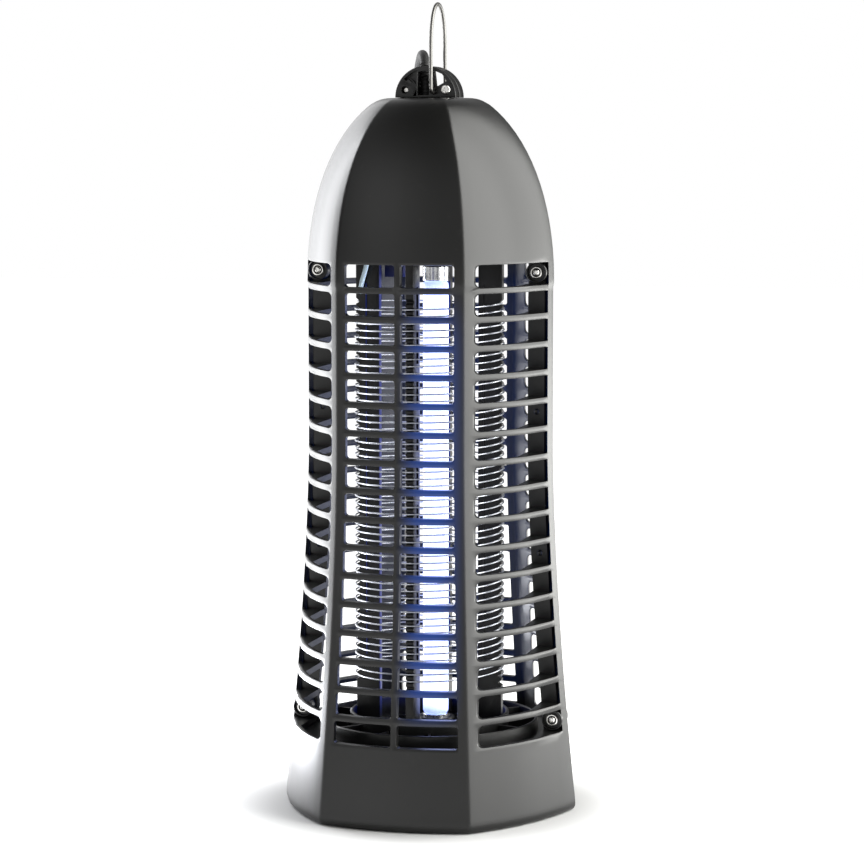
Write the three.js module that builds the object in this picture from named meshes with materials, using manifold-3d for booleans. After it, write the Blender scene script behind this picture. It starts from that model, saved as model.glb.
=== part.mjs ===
// Electric bug zapper: a hexagonal lantern with a slatted grille, a vertical blacklight tube,
// a high-voltage wire cage round the tube, a domed top with a hanging bail, and a mains lead.
// Millimetres, +Z up, front towards -Y, origin at the centre of the base.

import * as THREE from 'three'
import { mergeVertices } from 'three/addons/utils/BufferGeometryUtils.js'
import Module from 'manifold-3d'

const wasm = await Module()
wasm.setup()

// ---- driving dimensions ----

const gap = 0.3 // between touching pieces
const seam = 0.15 // each half shell stops this far from the plane y = 0

// hexagonal body: radii are measured to the corners, which lie on +X and -X and 60 degrees apart
const baseRadius = 94
const waistRadius = 78
const waistHeight = 230
const flareExponent = 1.6
const domeStart = 325
const domeRadius = 78.5
const domeRise = 121 // full height of the superellipse that the dome is cut from
const domePower = 2.15
const domeTop = 437.6
const rimBottom = 0.5
const rimChamfer = 4.5
const faceBulge = 5.9 / 78 // outward bow of a flat, as a share of the corner radius
const wall = 2.2
const cos30 = Math.cos(Math.PI / 6)
const shellSides = 24

// grille
const sill = 50.6
const openingHeight = 13.45
const slatPitch = 17.16
const rowCount = 17
const mullionHalf = 1.85
const frontMargin = 5.5 // from an opening's outer end to the front corner, along x
const sideMarginFront = 5
const sideMarginSeam = 1.5
const flangeWidth = 16
const flangeThick = 2
const webBottom = 46.9
const webTop = 341.3

// case screws, in the first and last rows of the grille
const screwPlaces = [
  { name: 'upper', x: 69.3, z: 332.3 },
  { name: 'lower', x: 80.2, z: 57.4 },
]
const bossRadius = 6
const bossFace = 7
const screwHeadRadius = 3.65
const screwHeadHeight = 2.2
const screwShank = 1.7
const screwLength = 7

// decks
const lowerDeckTop = 46.4
const upperDeckBottom = 341.8
const deckThick = 2.6
// upright rings on the lower deck: outer radius, thickness and top
const deckRings = [[49.4, 2, 58.5], [67.6, 1.8, 55]]

// lamp: a T5 tube
const lampX = 4
const glassBottom = 56.8
const glassTop = 325.8
const glassRadius = 7.9
const capRadius = 8
const capLength = 9.5
const pinRadius = 1.2
const pinSpread = 4.2
const lowerPinLength = 6
const upperPinLength = 5 // ends inside the holder, below the deck

// electrode cage
const cageRadius = 46
const wireRadius = 0.5
const wirePitch = 8.55
const wireTurns = 27
const wireBottom = 82
const stepsPerTurn = 8
const postInner = 31.5
const postValley = 44.1
const postPeak = 46.6
const postThick = 5

// hanger bracket and bail
const bracketRadius = 19.1
const bracketDepth = 9.85
const bracketBase = domeTop + gap
const bailX = 5.3
const bailPivotZ = 441
const bailHalfWidth = 16.5
const bailWire = 1.15
const bailStraight = 470
const bailTop = 494.5

// tray and base
const trayHalfWidth = 34
const trayFront = -58
const trayBottom = 5.3
const trayTop = 33
const trayWall = 1.6
const doorHalfWidth = 35.6
const doorBottom = 5.4
const doorTop = 39.6
const doorGap = 0.4
const basePlateBottom = 2.2
const basePlateTop = 4.9
const footRadius = 6

// mains lead
const cordRadius = 3
const exitPoint = new THREE.Vector3(-2, 0, domeTop)
const cordStraight = 2.5
const cordBend = 24.5
const cordHeading = THREE.MathUtils.degToRad(21) // the lead leans back and this far to the left
const reliefLength = 22
const coilCentre = new THREE.Vector3(-82, 134, 0)
const coilInner = 27
const coilOuter = 39
const coilHeight = 12
const plugEntry = new THREE.Vector3(-84, 183, 7)

// ---- finishes ----

function finish(color, roughness, metalness = 0) {
  return new THREE.MeshStandardMaterial({ color, roughness, metalness })
}

const finishes = {
  casing: () => finish(0x232425, 0.42),
  innerPlastic: () => finish(0x1b1b1d, 0.5),
  steel: () => finish(0xc9c9c6, 0.28, 1),
  wire: () => finish(0xb9bcc2, 0.3, 1),
  aluminium: () => finish(0xd2d4d6, 0.35, 1),
  lampGlass: () => finish(0xdfe8ff, 0.15),
  rubber: () => finish(0x161616, 0.75),
  leadSleeve: () => finish(0xc8dcf0, 0.45),
  board: () => finish(0x2f6b3a, 0.6),
  iron: () => finish(0x5b5d60, 0.5, 0.8),
  capacitor: () => finish(0x2b3f86, 0.45),
}

// ---- helpers ----

const model = new THREE.Group()

function addPart(name, geometry, material) {
  const mesh = new THREE.Mesh(geometry, material)
  mesh.name = name
  model.add(mesh)
  return mesh
}

function toSolid(geometry) {
  const bare = geometry.clone()
  bare.deleteAttribute('normal')
  bare.deleteAttribute('uv')
  const merged = mergeVertices(bare, 1e-4)
  return new wasm.Manifold(new wasm.Mesh({
    numProp: 3,
    vertProperties: new Float32Array(merged.attributes.position.array),
    triVerts: new Uint32Array(merged.index.array),
  }))
}

function toGeometry(solid) {
  const mesh = solid.getMesh()
  const geometry = new THREE.BufferGeometry()
  geometry.setAttribute('position', new THREE.BufferAttribute(mesh.vertProperties, 3))
  geometry.setIndex(new THREE.BufferAttribute(mesh.triVerts, 1))
  return geometry
}

function box(x0, x1, y0, y1, z0, z1) {
  const geometry = new THREE.BoxGeometry(x1 - x0, y1 - y0, z1 - z0)
  return geometry.translate((x0 + x1) / 2, (y0 + y1) / 2, (z0 + z1) / 2)
}

function upright(radius, z0, z1, x, y, sides = 12) {
  const geometry = new THREE.CylinderGeometry(radius, radius, z1 - z0, sides)
  return geometry.rotateX(Math.PI / 2).translate(x, y, (z0 + z1) / 2)
}

function alongY(radius, y0, y1, x, z, sides = 12) {
  const geometry = new THREE.CylinderGeometry(radius, radius, y1 - y0, sides)
  return geometry.translate(x, (y0 + y1) / 2, z)
}

// A lathe about +Z from [radius, height] pairs.
function lathe(profile, sides) {
  const points = profile.map(([r, z]) => new THREE.Vector2(r, z))
  return new THREE.LatheGeometry(points, sides).rotateX(Math.PI / 2)
}

function roundSection(radius, sides) {
  const shape = new THREE.Shape()
  for (let i = 0; i < sides; i++) {
    const angle = (2 * Math.PI * (i + 0.5)) / sides
    const x = radius * Math.cos(angle)
    const y = radius * Math.sin(angle)
    if (i === 0) shape.moveTo(x, y)
    else shape.lineTo(x, y)
  }
  return shape
}

function tube(curve, radius, sides, steps) {
  const options = { steps, bevelEnabled: false, extrudePath: curve }
  return new THREE.ExtrudeGeometry(roundSection(radius, sides), options)
}

// Extrudes an outline drawn in x and z along y, from y0 to y1.
function plateXZ(shape, y0, y1, curveSegments = 8) {
  const options = { depth: y1 - y0, bevelEnabled: false, curveSegments }
  return new THREE.ExtrudeGeometry(shape, options).rotateX(Math.PI / 2).translate(0, y1, 0)
}

function outline(points) {
  const shape = new THREE.Shape()
  points.forEach(([x, y], i) => {
    if (i === 0) shape.moveTo(x, y)
    else shape.lineTo(x, y)
  })
  return shape
}

function mirrored(solid, side) {
  return side < 0 ? solid.mirror([1, 0, 0]) : solid
}

// ---- body shape ----

function cornerRadius(z) {
  if (z >= domeStart) return domeRadius * (1 - ((z - domeStart) / domeRise) ** domePower) ** (1 / domePower)
  if (z >= waistHeight) return waistRadius
  return waistRadius + (baseRadius - waistRadius) * ((waistHeight - z) / waistHeight) ** flareExponent
}

// Distance from the axis to a bowed hexagon, at an angle turned from the front.
function hexRadius(corner, angle) {
  const sixth = Math.PI / 3
  const turned = angle - sixth * Math.round(angle / sixth)
  const apothem = corner * cos30
  const bow = corner * faceBulge
  let along = 0
  for (let i = 0; i < 12; i++) {
    along = (Math.tan(turned) * (apothem + bow * (1 - along * along))) / (corner / 2)
    along = Math.max(-1, Math.min(1, along))
  }
  return Math.hypot(apothem + bow * (1 - along * along), (along * corner) / 2)
}

// A lathe whose round sections are pushed out to bowed hexagons.
function hexLathe(profile) {
  const geometry = lathe(profile, shellSides)
  const position = geometry.attributes.position
  for (let i = 0; i < position.count; i++) {
    const x = position.getX(i)
    const y = position.getY(i)
    const radius = Math.hypot(x, y)
    if (radius < 1e-6) continue
    const scale = hexRadius(radius, Math.atan2(x, -y)) / radius
    position.setXY(i, x * scale, y * scale)
  }
  return geometry
}

const bodyHeights = [5, 48.75, 100.25, 151.7, 220.4, 323.3, 350, 374, 396, 412, 423, 431]

function outerBody() {
  const profile = [[0, rimBottom], [baseRadius - rimChamfer * 0.6, rimBottom]]
  for (const z of bodyHeights) profile.push([cornerRadius(z), z])
  profile.push([cornerRadius(domeTop - 2) - 0.3, domeTop - 2])
  profile.push([cornerRadius(domeTop) - 4, domeTop], [0, domeTop])
  return toSolid(hexLathe(profile))
}

function innerBody() {
  const inset = wall / cos30
  const profile = [[0, -1], [baseRadius - rimChamfer * 0.6 - inset, -1]]
  for (const z of bodyHeights) profile.push([cornerRadius(z) - inset, z])
  profile.push([cornerRadius(domeTop) - 5, domeTop - wall], [0, domeTop - wall])
  return toSolid(hexLathe(profile))
}

function hexPlate(corner, z0, z1) {
  return toSolid(hexLathe([[0, z0], [corner, z0], [corner, z1], [0, z1]]))
}

// ---- half shells ----

// Solid material beside the seam: the slats run into it and the seam flange closes it.
function seamColumn(outer) {
  const edge = []
  for (const z of [webBottom, 100.25, 151.7, 220.4, webTop]) edge.push([cornerRadius(z) - flangeWidth, z])
  const shape = outline([...edge, [120, webTop], [120, webBottom]])
  return outer.intersect(toSolid(plateXZ(shape, -32, -seam)))
}

function frontHalf(outer, inner) {
  const half = toSolid(box(-130, 130, -130, -seam, -5, 500))
  let shell = outer.subtract(inner).intersect(half)
  const column = seamColumn(outer)
  for (const side of [1, -1]) shell = shell.add(mirrored(column, side))
  return shell
}

function rowCutters(row) {
  const z0 = sill + row * slatPitch
  const corner = cornerRadius(z0 + openingHeight / 2)
  const z1 = z0 + openingHeight
  const front = box(mullionHalf, corner / 2 - frontMargin, -120, -40, z0, z1)
  const y1 = -seam - flangeThick
  const side = box(corner / 2 + sideMarginFront, corner - sideMarginSeam, -120, y1, z0, z1)
  return [toSolid(front), toSolid(side)]
}

function grilleCutter() {
  const cutters = []
  for (let row = 0; row < rowCount; row++) cutters.push(...rowCutters(row))
  const right = wasm.Manifold.union(cutters)
  return right.add(mirrored(right, -1))
}

function shellHalf(outer, inner) {
  let shell = frontHalf(outer, inner).subtract(grilleCutter())
  for (const { x, z } of screwPlaces) {
    for (const side of [1, -1]) {
      shell = shell.add(toSolid(alongY(bossRadius, -bossFace, -seam, side * x, z)))
    }
  }
  const cordHole = toSolid(upright(5, domeTop - 5, domeTop + 5, exitPoint.x, exitPoint.y, 16))
  return shell.subtract(cordHole)
}

function screwHoles(y0, y1) {
  const holes = []
  for (const { x, z } of screwPlaces) {
    for (const side of [1, -1]) {
      holes.push(toSolid(alongY(screwShank + 0.35, y0, y1, side * x, z)))
    }
  }
  return wasm.Manifold.union(holes)
}

function doorBlock(grow) {
  const halfWidth = doorHalfWidth + grow
  return toSolid(box(-halfWidth, halfWidth, 60, 110, doorBottom - grow, doorTop + grow))
}

function addShells() {
  const outer = outerBody()
  const half = shellHalf(outer, innerBody())
  const front = half.subtract(screwHoles(-20, 5))
  const rearBlank = half.mirror([0, 1, 0])
  const rearScrews = screwHoles(-5, screwLength - bossFace + 6)
  const rear = rearBlank.subtract(rearScrews).subtract(doorBlock(doorGap))
  addPart('front_shell', toGeometry(front), finishes.casing())
  addPart('rear_shell', toGeometry(rear), finishes.casing())
  return outer
}

// ---- screws: head towards -Y ----

function screw(headRadius, headHeight, shankRadius, shankLength) {
  const profile = [
    [0, 0], [headRadius * 0.8, 0], [headRadius, headHeight * 0.45], [headRadius, headHeight],
    [shankRadius, headHeight], [shankRadius, headHeight + shankLength], [0, headHeight + shankLength],
  ]
  return lathe(profile, 12).rotateX(-Math.PI / 2)
}

function addCaseScrews() {
  const start = -bossFace - gap - screwHeadHeight
  for (const { name, x, z } of screwPlaces) {
    for (const [label, side] of [['left', -1], ['right', 1]]) {
      const geometry = screw(screwHeadRadius, screwHeadHeight, screwShank, bossFace + screwLength - 2)
      const mesh = addPart(`case_screw_${name}_${label}`, geometry, finishes.steel())
      mesh.position.set(side * x, start, z)
    }
  }
}

// ---- hanger bracket, its screws and the bail ----

const bracketScrewX = 13
const bracketScrewRise = 4.6
const sunkDepth = 5
const bracketShank = 1.2

// windows through each half, in x and in height above the bracket's base
const frontWindows = [
  [[6.4, 6.4], [10.6, 9.2], [12, 11], [9.2, 14.2], [5.9, 15.6]],
  [[-5, 1.4], [2.2, 1.4], [2.2, 15.8], [-5, 15.2]],
  [[-7.8, 0.9], [-5.8, 0.9], [-5.8, 4.6]],
]
const rearWindows = [
  [[-1.6, 6.6], [10.4, 6.6], [12.4, 8.6], [10.6, 12.6], [5.4, 16.1], [-1.6, 16.8]],
  [[-5, 1.4], [2.2, 1.4], [2.2, 5.4], [-5, 5.4]],
]

function bracketHalf(y0, y1, windows) {
  const shape = new THREE.Shape()
  shape.absarc(0, 0, bracketRadius, 0, Math.PI, false)
  shape.lineTo(bracketRadius, 0)
  for (const window of windows) shape.holes.push(outline(window))
  let solid = toSolid(plateXZ(shape, y0, y1, 18).translate(0, 0, bracketBase))
  const cuts = [
    upright(5.2, bracketBase - 1, bracketBase + 30, exitPoint.x, exitPoint.y, 12),
    alongY(bailWire + 0.45, y0 - 1, y1 + 1, bailX, bailPivotZ, 10),
    alongY(1.6, -20, 8.4, bracketScrewX, bracketBase + bracketScrewRise, 10),
    alongY(1.6, -20, 8.4, -bracketScrewX, bracketBase + bracketScrewRise, 10),
  ]
  for (const cut of cuts) solid = solid.subtract(toSolid(cut))
  return solid
}

// The rear half is open where the lead bends back over it.
function cordNotch() {
  const notch = box(-5.2, 5.2, 0, 24, bracketBase + 6, bracketBase + 30)
  notch.rotateZ(cordHeading).translate(exitPoint.x, exitPoint.y, 0)
  return toSolid(notch)
}

function addBracket() {
  const bore = alongY(2.3, -20, -seam - sunkDepth, -bracketScrewX, bracketBase + bracketScrewRise)
  const front = bracketHalf(-seam - bracketDepth, -seam, frontWindows).subtract(toSolid(bore))
  const rear = bracketHalf(seam, seam + bracketDepth, rearWindows).subtract(cordNotch())
  addPart('hanger_bracket_front', toGeometry(front), finishes.casing())
  addPart('hanger_bracket_rear', toGeometry(rear), finishes.casing())
  const faces = { left: -seam - sunkDepth, right: -seam - bracketDepth }
  for (const [label, side, headRadius] of [['left', -1, 1.9], ['right', 1, 2.9]]) {
    const geometry = screw(headRadius, 1.5, bracketShank, 1 - faces[label] + 5.5)
    const mesh = addPart(`bracket_screw_${label}`, geometry, finishes.steel())
    mesh.position.set(side * bracketScrewX, faces[label] - gap - 1.5, bracketBase + bracketScrewRise)
  }
}

function bailCurve() {
  const side = [[6.5, 0], [10, 0], [14, 0.2], [16, 1.2], [16.5, 3.2]]
  const left = side.map(([y, up]) => new THREE.Vector3(bailX, -y, bailPivotZ + up))
  left.push(new THREE.Vector3(bailX, -bailHalfWidth, 456))
  const bow = []
  for (let i = 0; i <= 8; i++) {
    const angle = (Math.PI / 2) * (i / 8)
    const y = -bailHalfWidth * Math.cos(angle)
    bow.push(new THREE.Vector3(bailX, y, bailStraight + (bailTop - bailStraight) * Math.sin(angle)))
  }
  const half = [...left, ...bow]
  const back = half.slice(0, -1).reverse().map((p) => new THREE.Vector3(p.x, -p.y, p.z))
  return new THREE.CatmullRomCurve3([...half, ...back], false, 'centripetal')
}

function addBail() {
  addPart('bail', tube(bailCurve(), bailWire, 6, 44), finishes.steel())
}

// ---- decks, lamp and cage ----

function addDecks() {
  const lowerBottom = lowerDeckTop - deckThick
  let lower = hexPlate(cornerRadius(lowerDeckTop) - wall / cos30 - 0.8, lowerBottom, lowerDeckTop)
  for (let i = 0; i < 4; i++) {
    const opening = new THREE.Shape()
    opening.absarc(0, 0, 44, 0.22, Math.PI / 2 - 0.22, false)
    opening.absarc(0, 0, 20, Math.PI / 2 - 0.4, 0.4, true)
    const cutter = new THREE.ExtrudeGeometry(opening, { depth: 20, bevelEnabled: false, curveSegments: 3 })
    cutter.rotateZ((i * Math.PI) / 2).translate(0, 0, lowerBottom - 5)
    lower = lower.subtract(toSolid(cutter))
  }
  lower = lower.subtract(toSolid(upright(12.4, lowerBottom - 5, lowerDeckTop + 5, lampX, 0, 16)))
  for (const [radius, thick, top] of deckRings) {
    const disc = toSolid(upright(radius, lowerDeckTop - 1, top, 0, 0, 40))
    lower = lower.add(disc.subtract(toSolid(upright(radius - thick, 0, top + 5, 0, 0, 40))))
  }
  addPart('lower_deck', toGeometry(lower), finishes.innerPlastic())

  const upperTop = upperDeckBottom + deckThick
  let upper = hexPlate(cornerRadius(upperTop) - wall / cos30 - 0.6, upperDeckBottom, upperTop)
  for (const [x, y] of [[-30, -6], [30, -6], [-30, 36], [30, 36]]) {
    upper = upper.add(toSolid(upright(2.5, upperTop - 1, 351.6, x, y, 8)))
  }
  for (const side of [-1, 1]) {
    const hole = upright(2.4, upperDeckBottom - 5, upperTop + 5, side * 37.5, side * 7, 10)
    upper = upper.subtract(toSolid(hole))
  }
  addPart('upper_deck', toGeometry(upper), finishes.innerPlastic())
}

// A cap with two contact pins, drawn upwards from its glass end; up is -1 where it points down.
function lampCap(faceZ, up, pinLength) {
  let cap = toSolid(upright(capRadius, 0, capLength, lampX, 0, 20))
  for (const side of [-1, 1]) {
    const pin = upright(pinRadius, capLength - 1, capLength + pinLength, lampX + (side * pinSpread) / 2, 0, 6)
    cap = cap.add(toSolid(pin))
  }
  if (up < 0) cap = cap.mirror([0, 0, 1])
  return toGeometry(cap.translate([0, 0, faceZ]))
}

function lowerHolder() {
  const floor = glassBottom - gap - capLength - gap
  let cup = toSolid(upright(12, 39.4, floor + 8.2, lampX, 0, 20))
  cup = cup.add(toSolid(upright(15, 40.2, 43.4, lampX, 0, 20)))
  cup = cup.subtract(toSolid(upright(capRadius + 0.5, floor, 70, lampX, 0, 20)))
  return cup.subtract(toSolid(box(lampX - 4.2, lampX + 4.2, -1.9, 1.9, floor - 6.6, floor + 1)))
}

function upperHolder() {
  const face = glassTop + gap + capLength + gap
  const block = toSolid(box(lampX - 13, lampX + 13, -9, 9, face, upperDeckBottom - gap))
  return block.subtract(toSolid(box(lampX - 4.2, lampX + 4.2, -1.9, 1.9, face - 1, upperDeckBottom + 4)))
}

function addLamp() {
  addPart('lamp_holder_lower', toGeometry(lowerHolder()), finishes.innerPlastic())
  addPart('lamp_holder_upper', toGeometry(upperHolder()), finishes.innerPlastic())
  addPart('lamp_tube', upright(glassRadius, glassBottom, glassTop, lampX, 0, 20), finishes.lampGlass())
  addPart('lamp_cap_lower', lampCap(glassBottom - gap, -1, lowerPinLength), finishes.aluminium())
  addPart('lamp_cap_upper', lampCap(glassTop + gap, 1, upperPinLength), finishes.aluminium())
}

// A notched post that stands at an angle turned from the front; the wires lie in its notches.
function cagePost(angle, phase) {
  const z0 = lowerDeckTop + gap
  const z1 = upperDeckBottom - gap
  const rowPitch = wirePitch / 2
  const points = [[postInner, z0], [postPeak, z0]]
  const first = wireBottom - rowPitch + phase
  const count = Math.round((wireTurns * wirePitch) / rowPitch) + 2
  for (let i = 0; i < count; i++) {
    const z = first + i * rowPitch
    points.push([postPeak, z - rowPitch / 2], [postValley, z])
  }
  points.push([postPeak, first + (count - 0.5) * rowPitch], [postPeak, z1], [postInner, z1])
  const post = plateXZ(outline(points), -postThick / 2, postThick / 2)
  return post.rotateZ(angle - Math.PI / 2)
}

class Helix extends THREE.Curve {
  constructor(startAngle) {
    super()
    this.startAngle = startAngle
  }

  getPoint(t, target = new THREE.Vector3()) {
    const angle = this.startAngle + 2 * Math.PI * wireTurns * t
    const z = wireBottom + wirePitch * wireTurns * t
    return target.set(cageRadius * Math.sin(angle), -cageRadius * Math.cos(angle), z)
  }
}

function addCage() {
  const names = ['front', 'right', 'rear', 'left']
  names.forEach((name, i) => {
    const phase = i % 2 === 0 ? wirePitch / 4 : 0
    addPart(`cage_post_${name}`, cagePost((i * Math.PI) / 2, phase), finishes.innerPlastic())
  })
  for (const [label, start] of [['a', -Math.PI / 2], ['b', Math.PI / 2]]) {
    const curve = new Helix(start)
    curve.arcLengthDivisions = wireTurns * stepsPerTurn
    const geometry = tube(curve, wireRadius, 4, wireTurns * stepsPerTurn)
    addPart(`electrode_wire_${label}`, geometry, finishes.wire())
  }
}

function addLeads() {
  for (const [label, side] of [['a', -1], ['b', 1]]) {
    const route = [[37.5, 7, 350], [37.5, 7, 343], [38.6, 6.8, 335], [41.4, 5.8, 326], [43.6, 4.8, 318]]
    const points = route.map(([x, y, z]) => new THREE.Vector3(side * x, side * y, z))
    const curve = new THREE.CatmullRomCurve3(points, false, 'centripetal')
    addPart(`high_voltage_lead_${label}`, tube(curve, 1.5, 8, 12), finishes.leadSleeve())
  }
}

// ---- electronics in the dome ----

function addElectronics() {
  addPart('circuit_board', box(-34, 34, -10, 40, 351.9, 353.5), finishes.board())
  addPart('ballast_choke', box(-21, 21, -44, -16, 344.7, 368), finishes.iron())
  addPart('step_up_transformer', box(10, 30, 2, 22, 353.8, 372), finishes.iron())
  addPart('capacitor_a', upright(6, 353.8, 376, -20, 8, 14), finishes.capacitor())
  addPart('capacitor_b', upright(6, 353.8, 376, -20, 26, 14), finishes.capacitor())
  addPart('lamp_starter', box(-31, -19, 8, 20, 327.6, 341.5), finishes.innerPlastic())
}

// ---- base plate, feet and collecting tray ----

function addBase() {
  let plate = hexPlate(baseRadius - rimChamfer * 0.6 - wall / cos30 - 0.6, basePlateBottom, basePlateTop)
  for (const side of [-1, 1]) {
    const x0 = trayHalfWidth + 0.5
    const rail = box(Math.min(side * x0, side * (x0 + 2)), Math.max(side * x0, side * (x0 + 2)),
      trayFront, 70, basePlateTop - 1, 13)
    plate = plate.add(toSolid(rail))
  }
  addPart('base_plate', toGeometry(plate), finishes.casing())
  const places = [['front_left', -46, -56], ['front_right', 46, -56], ['rear_left', -46, 56], ['rear_right', 46, 56]]
  for (const [label, x, y] of places) {
    const foot = upright(footRadius, 0, basePlateBottom - gap, x, y, 12)
    addPart(`foot_${label}`, foot, finishes.rubber())
  }
}

function addTray(outer) {
  const bodyRear = 78
  let tray = toSolid(box(-trayHalfWidth, trayHalfWidth, trayFront, bodyRear, trayBottom, trayTop))
  const hollow = box(-trayHalfWidth + trayWall, trayHalfWidth - trayWall,
    trayFront + trayWall, bodyRear - trayWall, trayBottom + trayWall, trayTop + 5)
  tray = tray.subtract(toSolid(hollow))
  const shrunk = hexLathe([
    [0, -2], [baseRadius - 5.6, -2], [cornerRadius(5) - 5.6, 5], [cornerRadius(50) - 5.6, 50], [0, 50],
  ])
  const door = outer.subtract(toSolid(shrunk)).intersect(doorBlock(0))
  tray = tray.add(door).subtract(toSolid(box(-13, 13, 60, 110, 33.4, 50)))
  addPart('collecting_tray', toGeometry(tray), finishes.casing())
}

// ---- mains lead ----

const heading = new THREE.Vector3(-Math.sin(cordHeading), Math.cos(cordHeading), 0)
const sideways = new THREE.Vector3(Math.cos(cordHeading), Math.sin(cordHeading), 0)

// Bends a piece that stands on the exit point so that it follows the lead's first bend.
function bendBack(geometry) {
  const position = geometry.attributes.position
  const point = new THREE.Vector3()
  for (let i = 0; i < position.count; i++) {
    point.fromBufferAttribute(position, i)
    const turned = Math.max(0, point.z - cordStraight) / cordBend
    const out = point.dot(heading)
    const across = point.dot(sideways)
    const centre = cordCentre(point.z)
    centre.addScaledVector(heading, out * Math.cos(turned))
    centre.addScaledVector(sideways, across)
    centre.z -= out * Math.sin(turned)
    position.setXYZ(i, centre.x, centre.y, centre.z)
  }
  return geometry
}

// The centre of the lead at a length past the exit, within its straight start and first bend.
function cordCentre(length) {
  const turned = Math.max(0, length - cordStraight) / cordBend
  const point = exitPoint.clone()
  point.z += Math.min(length, cordStraight) + cordBend * Math.sin(turned)
  return point.addScaledVector(heading, cordBend * (1 - Math.cos(turned)))
}

function addRelief() {
  const profile = [
    [0, -7], [6.6, -7], [6.6, -wall - gap], [4.4, -wall - gap], [4.4, 2], [4.3, 7],
    [4.1, 12], [3.8, 17], [3.5, reliefLength], [0, reliefLength],
  ]
  addPart('strain_relief', bendBack(lathe(profile, 12)), finishes.rubber())
}

// From the end of the first bend, down behind the body to the floor.
const fallRoute = [
  [-15.8, 36, 460.6], [-19.6, 44.6, 452.6], [-23.2, 52.4, 441.5], [-26.6, 59.2, 428],
  [-30, 64.8, 412.5], [-33.4, 69.2, 395.5], [-36.6, 72.6, 377], [-39.6, 75.4, 357],
  [-42.4, 77.8, 336], [-45, 80, 312], [-47.2, 82, 284], [-48.8, 83.6, 250],
  [-49.8, 85, 210], [-50.5, 86.2, 168], [-51, 87.2, 126], [-51.4, 88.2, 90],
  [-51.6, 89.8, 60], [-51.6, 93.2, 35], [-51.2, 99.4, 17.5],
]

function addCord() {
  const points = []
  const bendEnd = cordStraight + cordBend * THREE.MathUtils.degToRad(100)
  const bendSteps = 6
  for (let i = 0; i <= bendSteps; i++) {
    const start = reliefLength + gap
    points.push(cordCentre(start + ((bendEnd - start) * i) / bendSteps))
  }
  for (const [x, y, z] of fallRoute) points.push(new THREE.Vector3(x, y, z))
  const curve = new THREE.CatmullRomCurve3(points, false, 'centripetal')
  addPart('mains_cord', tube(curve, cordRadius, 10, 48), finishes.rubber())
}

function addCoil() {
  const ring = [[coilInner, 0], [coilOuter, 0], [coilOuter, coilHeight], [coilInner, coilHeight], [coilInner, 0]]
  const coil = addPart('mains_cord_coil', lathe(ring, 28), finishes.rubber())
  coil.position.copy(coilCentre)
  const strap = outline([
    [coilInner - 1.4, 0.4], [coilInner - gap, 0.4], [coilInner - gap, coilHeight + gap],
    [coilOuter + gap, coilHeight + gap], [coilOuter + gap, 0.4], [coilOuter + 1.4, 0.4],
    [coilOuter + 1.4, coilHeight + 1.4], [coilInner - 1.4, coilHeight + 1.4],
  ])
  const tie = addPart('cord_tie', plateXZ(strap, -2, 2), finishes.rubber())
  tie.position.copy(coilCentre)
  tie.rotation.z = THREE.MathUtils.degToRad(215)
}

// The lead leaves the coil's outside and enters the plug.
const tailRoute = [[-66.6, 175.2, 8], [-71.6, 179.6, 7.3], [-77, 182.4, 7], [-80.4, 183, 7], [-83.6, 183, 7]]

function addPlug() {
  const points = tailRoute.map(([x, y, z]) => new THREE.Vector3(x, y, z))
  const curve = new THREE.CatmullRomCurve3(points, false, 'centripetal')
  addPart('mains_cord_tail', tube(curve, cordRadius, 10, 8), finishes.rubber())

  const shape = outline([[0, -5], [-14, -13], [-35, -13], [-37, -11], [-37, 11], [-35, 13], [-14, 13], [0, 5]])
  const options = { depth: 13, bevelEnabled: false }
  let body = toSolid(new THREE.ExtrudeGeometry(shape, options).translate(0, 0, -6.5))
  for (const side of [-1, 1]) {
    const socket = new THREE.CylinderGeometry(2.3, 2.3, 8, 10).rotateZ(Math.PI / 2)
    body = body.subtract(toSolid(socket.translate(-37, side * 9.3, 0)))
  }
  const plug = addPart('plug_body', toGeometry(body), finishes.rubber())
  plug.position.copy(plugEntry)
  for (const [label, side] of [['a', -1], ['b', 1]]) {
    const pin = new THREE.CylinderGeometry(2, 2, 22, 10).rotateZ(Math.PI / 2)
    const mesh = addPart(`plug_pin_${label}`, pin, finishes.steel())
    mesh.position.set(plugEntry.x - 33.4 - 11, plugEntry.y + side * 9.3, plugEntry.z)
  }
}

// ---- assembly ----

const outerShape = addShells()
addCaseScrews()
addBracket()
addBail()
addDecks()
addLamp()
addCage()
addLeads()
addElectronics()
addBase()
addTray(outerShape)
addRelief()
addCord()
addCoil()
addPlug()

export default model
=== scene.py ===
import math

import bmesh
import bpy
import numpy as np
from mathutils import Matrix, Vector


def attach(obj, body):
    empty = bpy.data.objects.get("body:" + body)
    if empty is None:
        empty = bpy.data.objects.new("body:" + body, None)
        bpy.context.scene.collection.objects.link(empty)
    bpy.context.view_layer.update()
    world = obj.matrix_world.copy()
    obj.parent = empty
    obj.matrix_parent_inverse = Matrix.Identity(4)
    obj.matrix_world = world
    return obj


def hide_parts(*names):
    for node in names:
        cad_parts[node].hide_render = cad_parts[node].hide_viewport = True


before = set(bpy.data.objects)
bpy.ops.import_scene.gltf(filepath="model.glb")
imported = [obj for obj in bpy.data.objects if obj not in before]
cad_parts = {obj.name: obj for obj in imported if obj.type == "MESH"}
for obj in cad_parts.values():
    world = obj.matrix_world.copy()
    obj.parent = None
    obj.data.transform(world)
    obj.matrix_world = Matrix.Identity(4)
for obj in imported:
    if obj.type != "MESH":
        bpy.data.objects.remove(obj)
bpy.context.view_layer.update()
mm = 0.001


# ---- camera ----

camera = {
    "azimuth": 15.2,  # degrees round from the front, towards +X
    "elevation": 5.87,
    "distance": 1.811,
    "aimHeight": 0.2324,
    "lens": 122.0,
    "shiftX": 0.0028,
}


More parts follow.
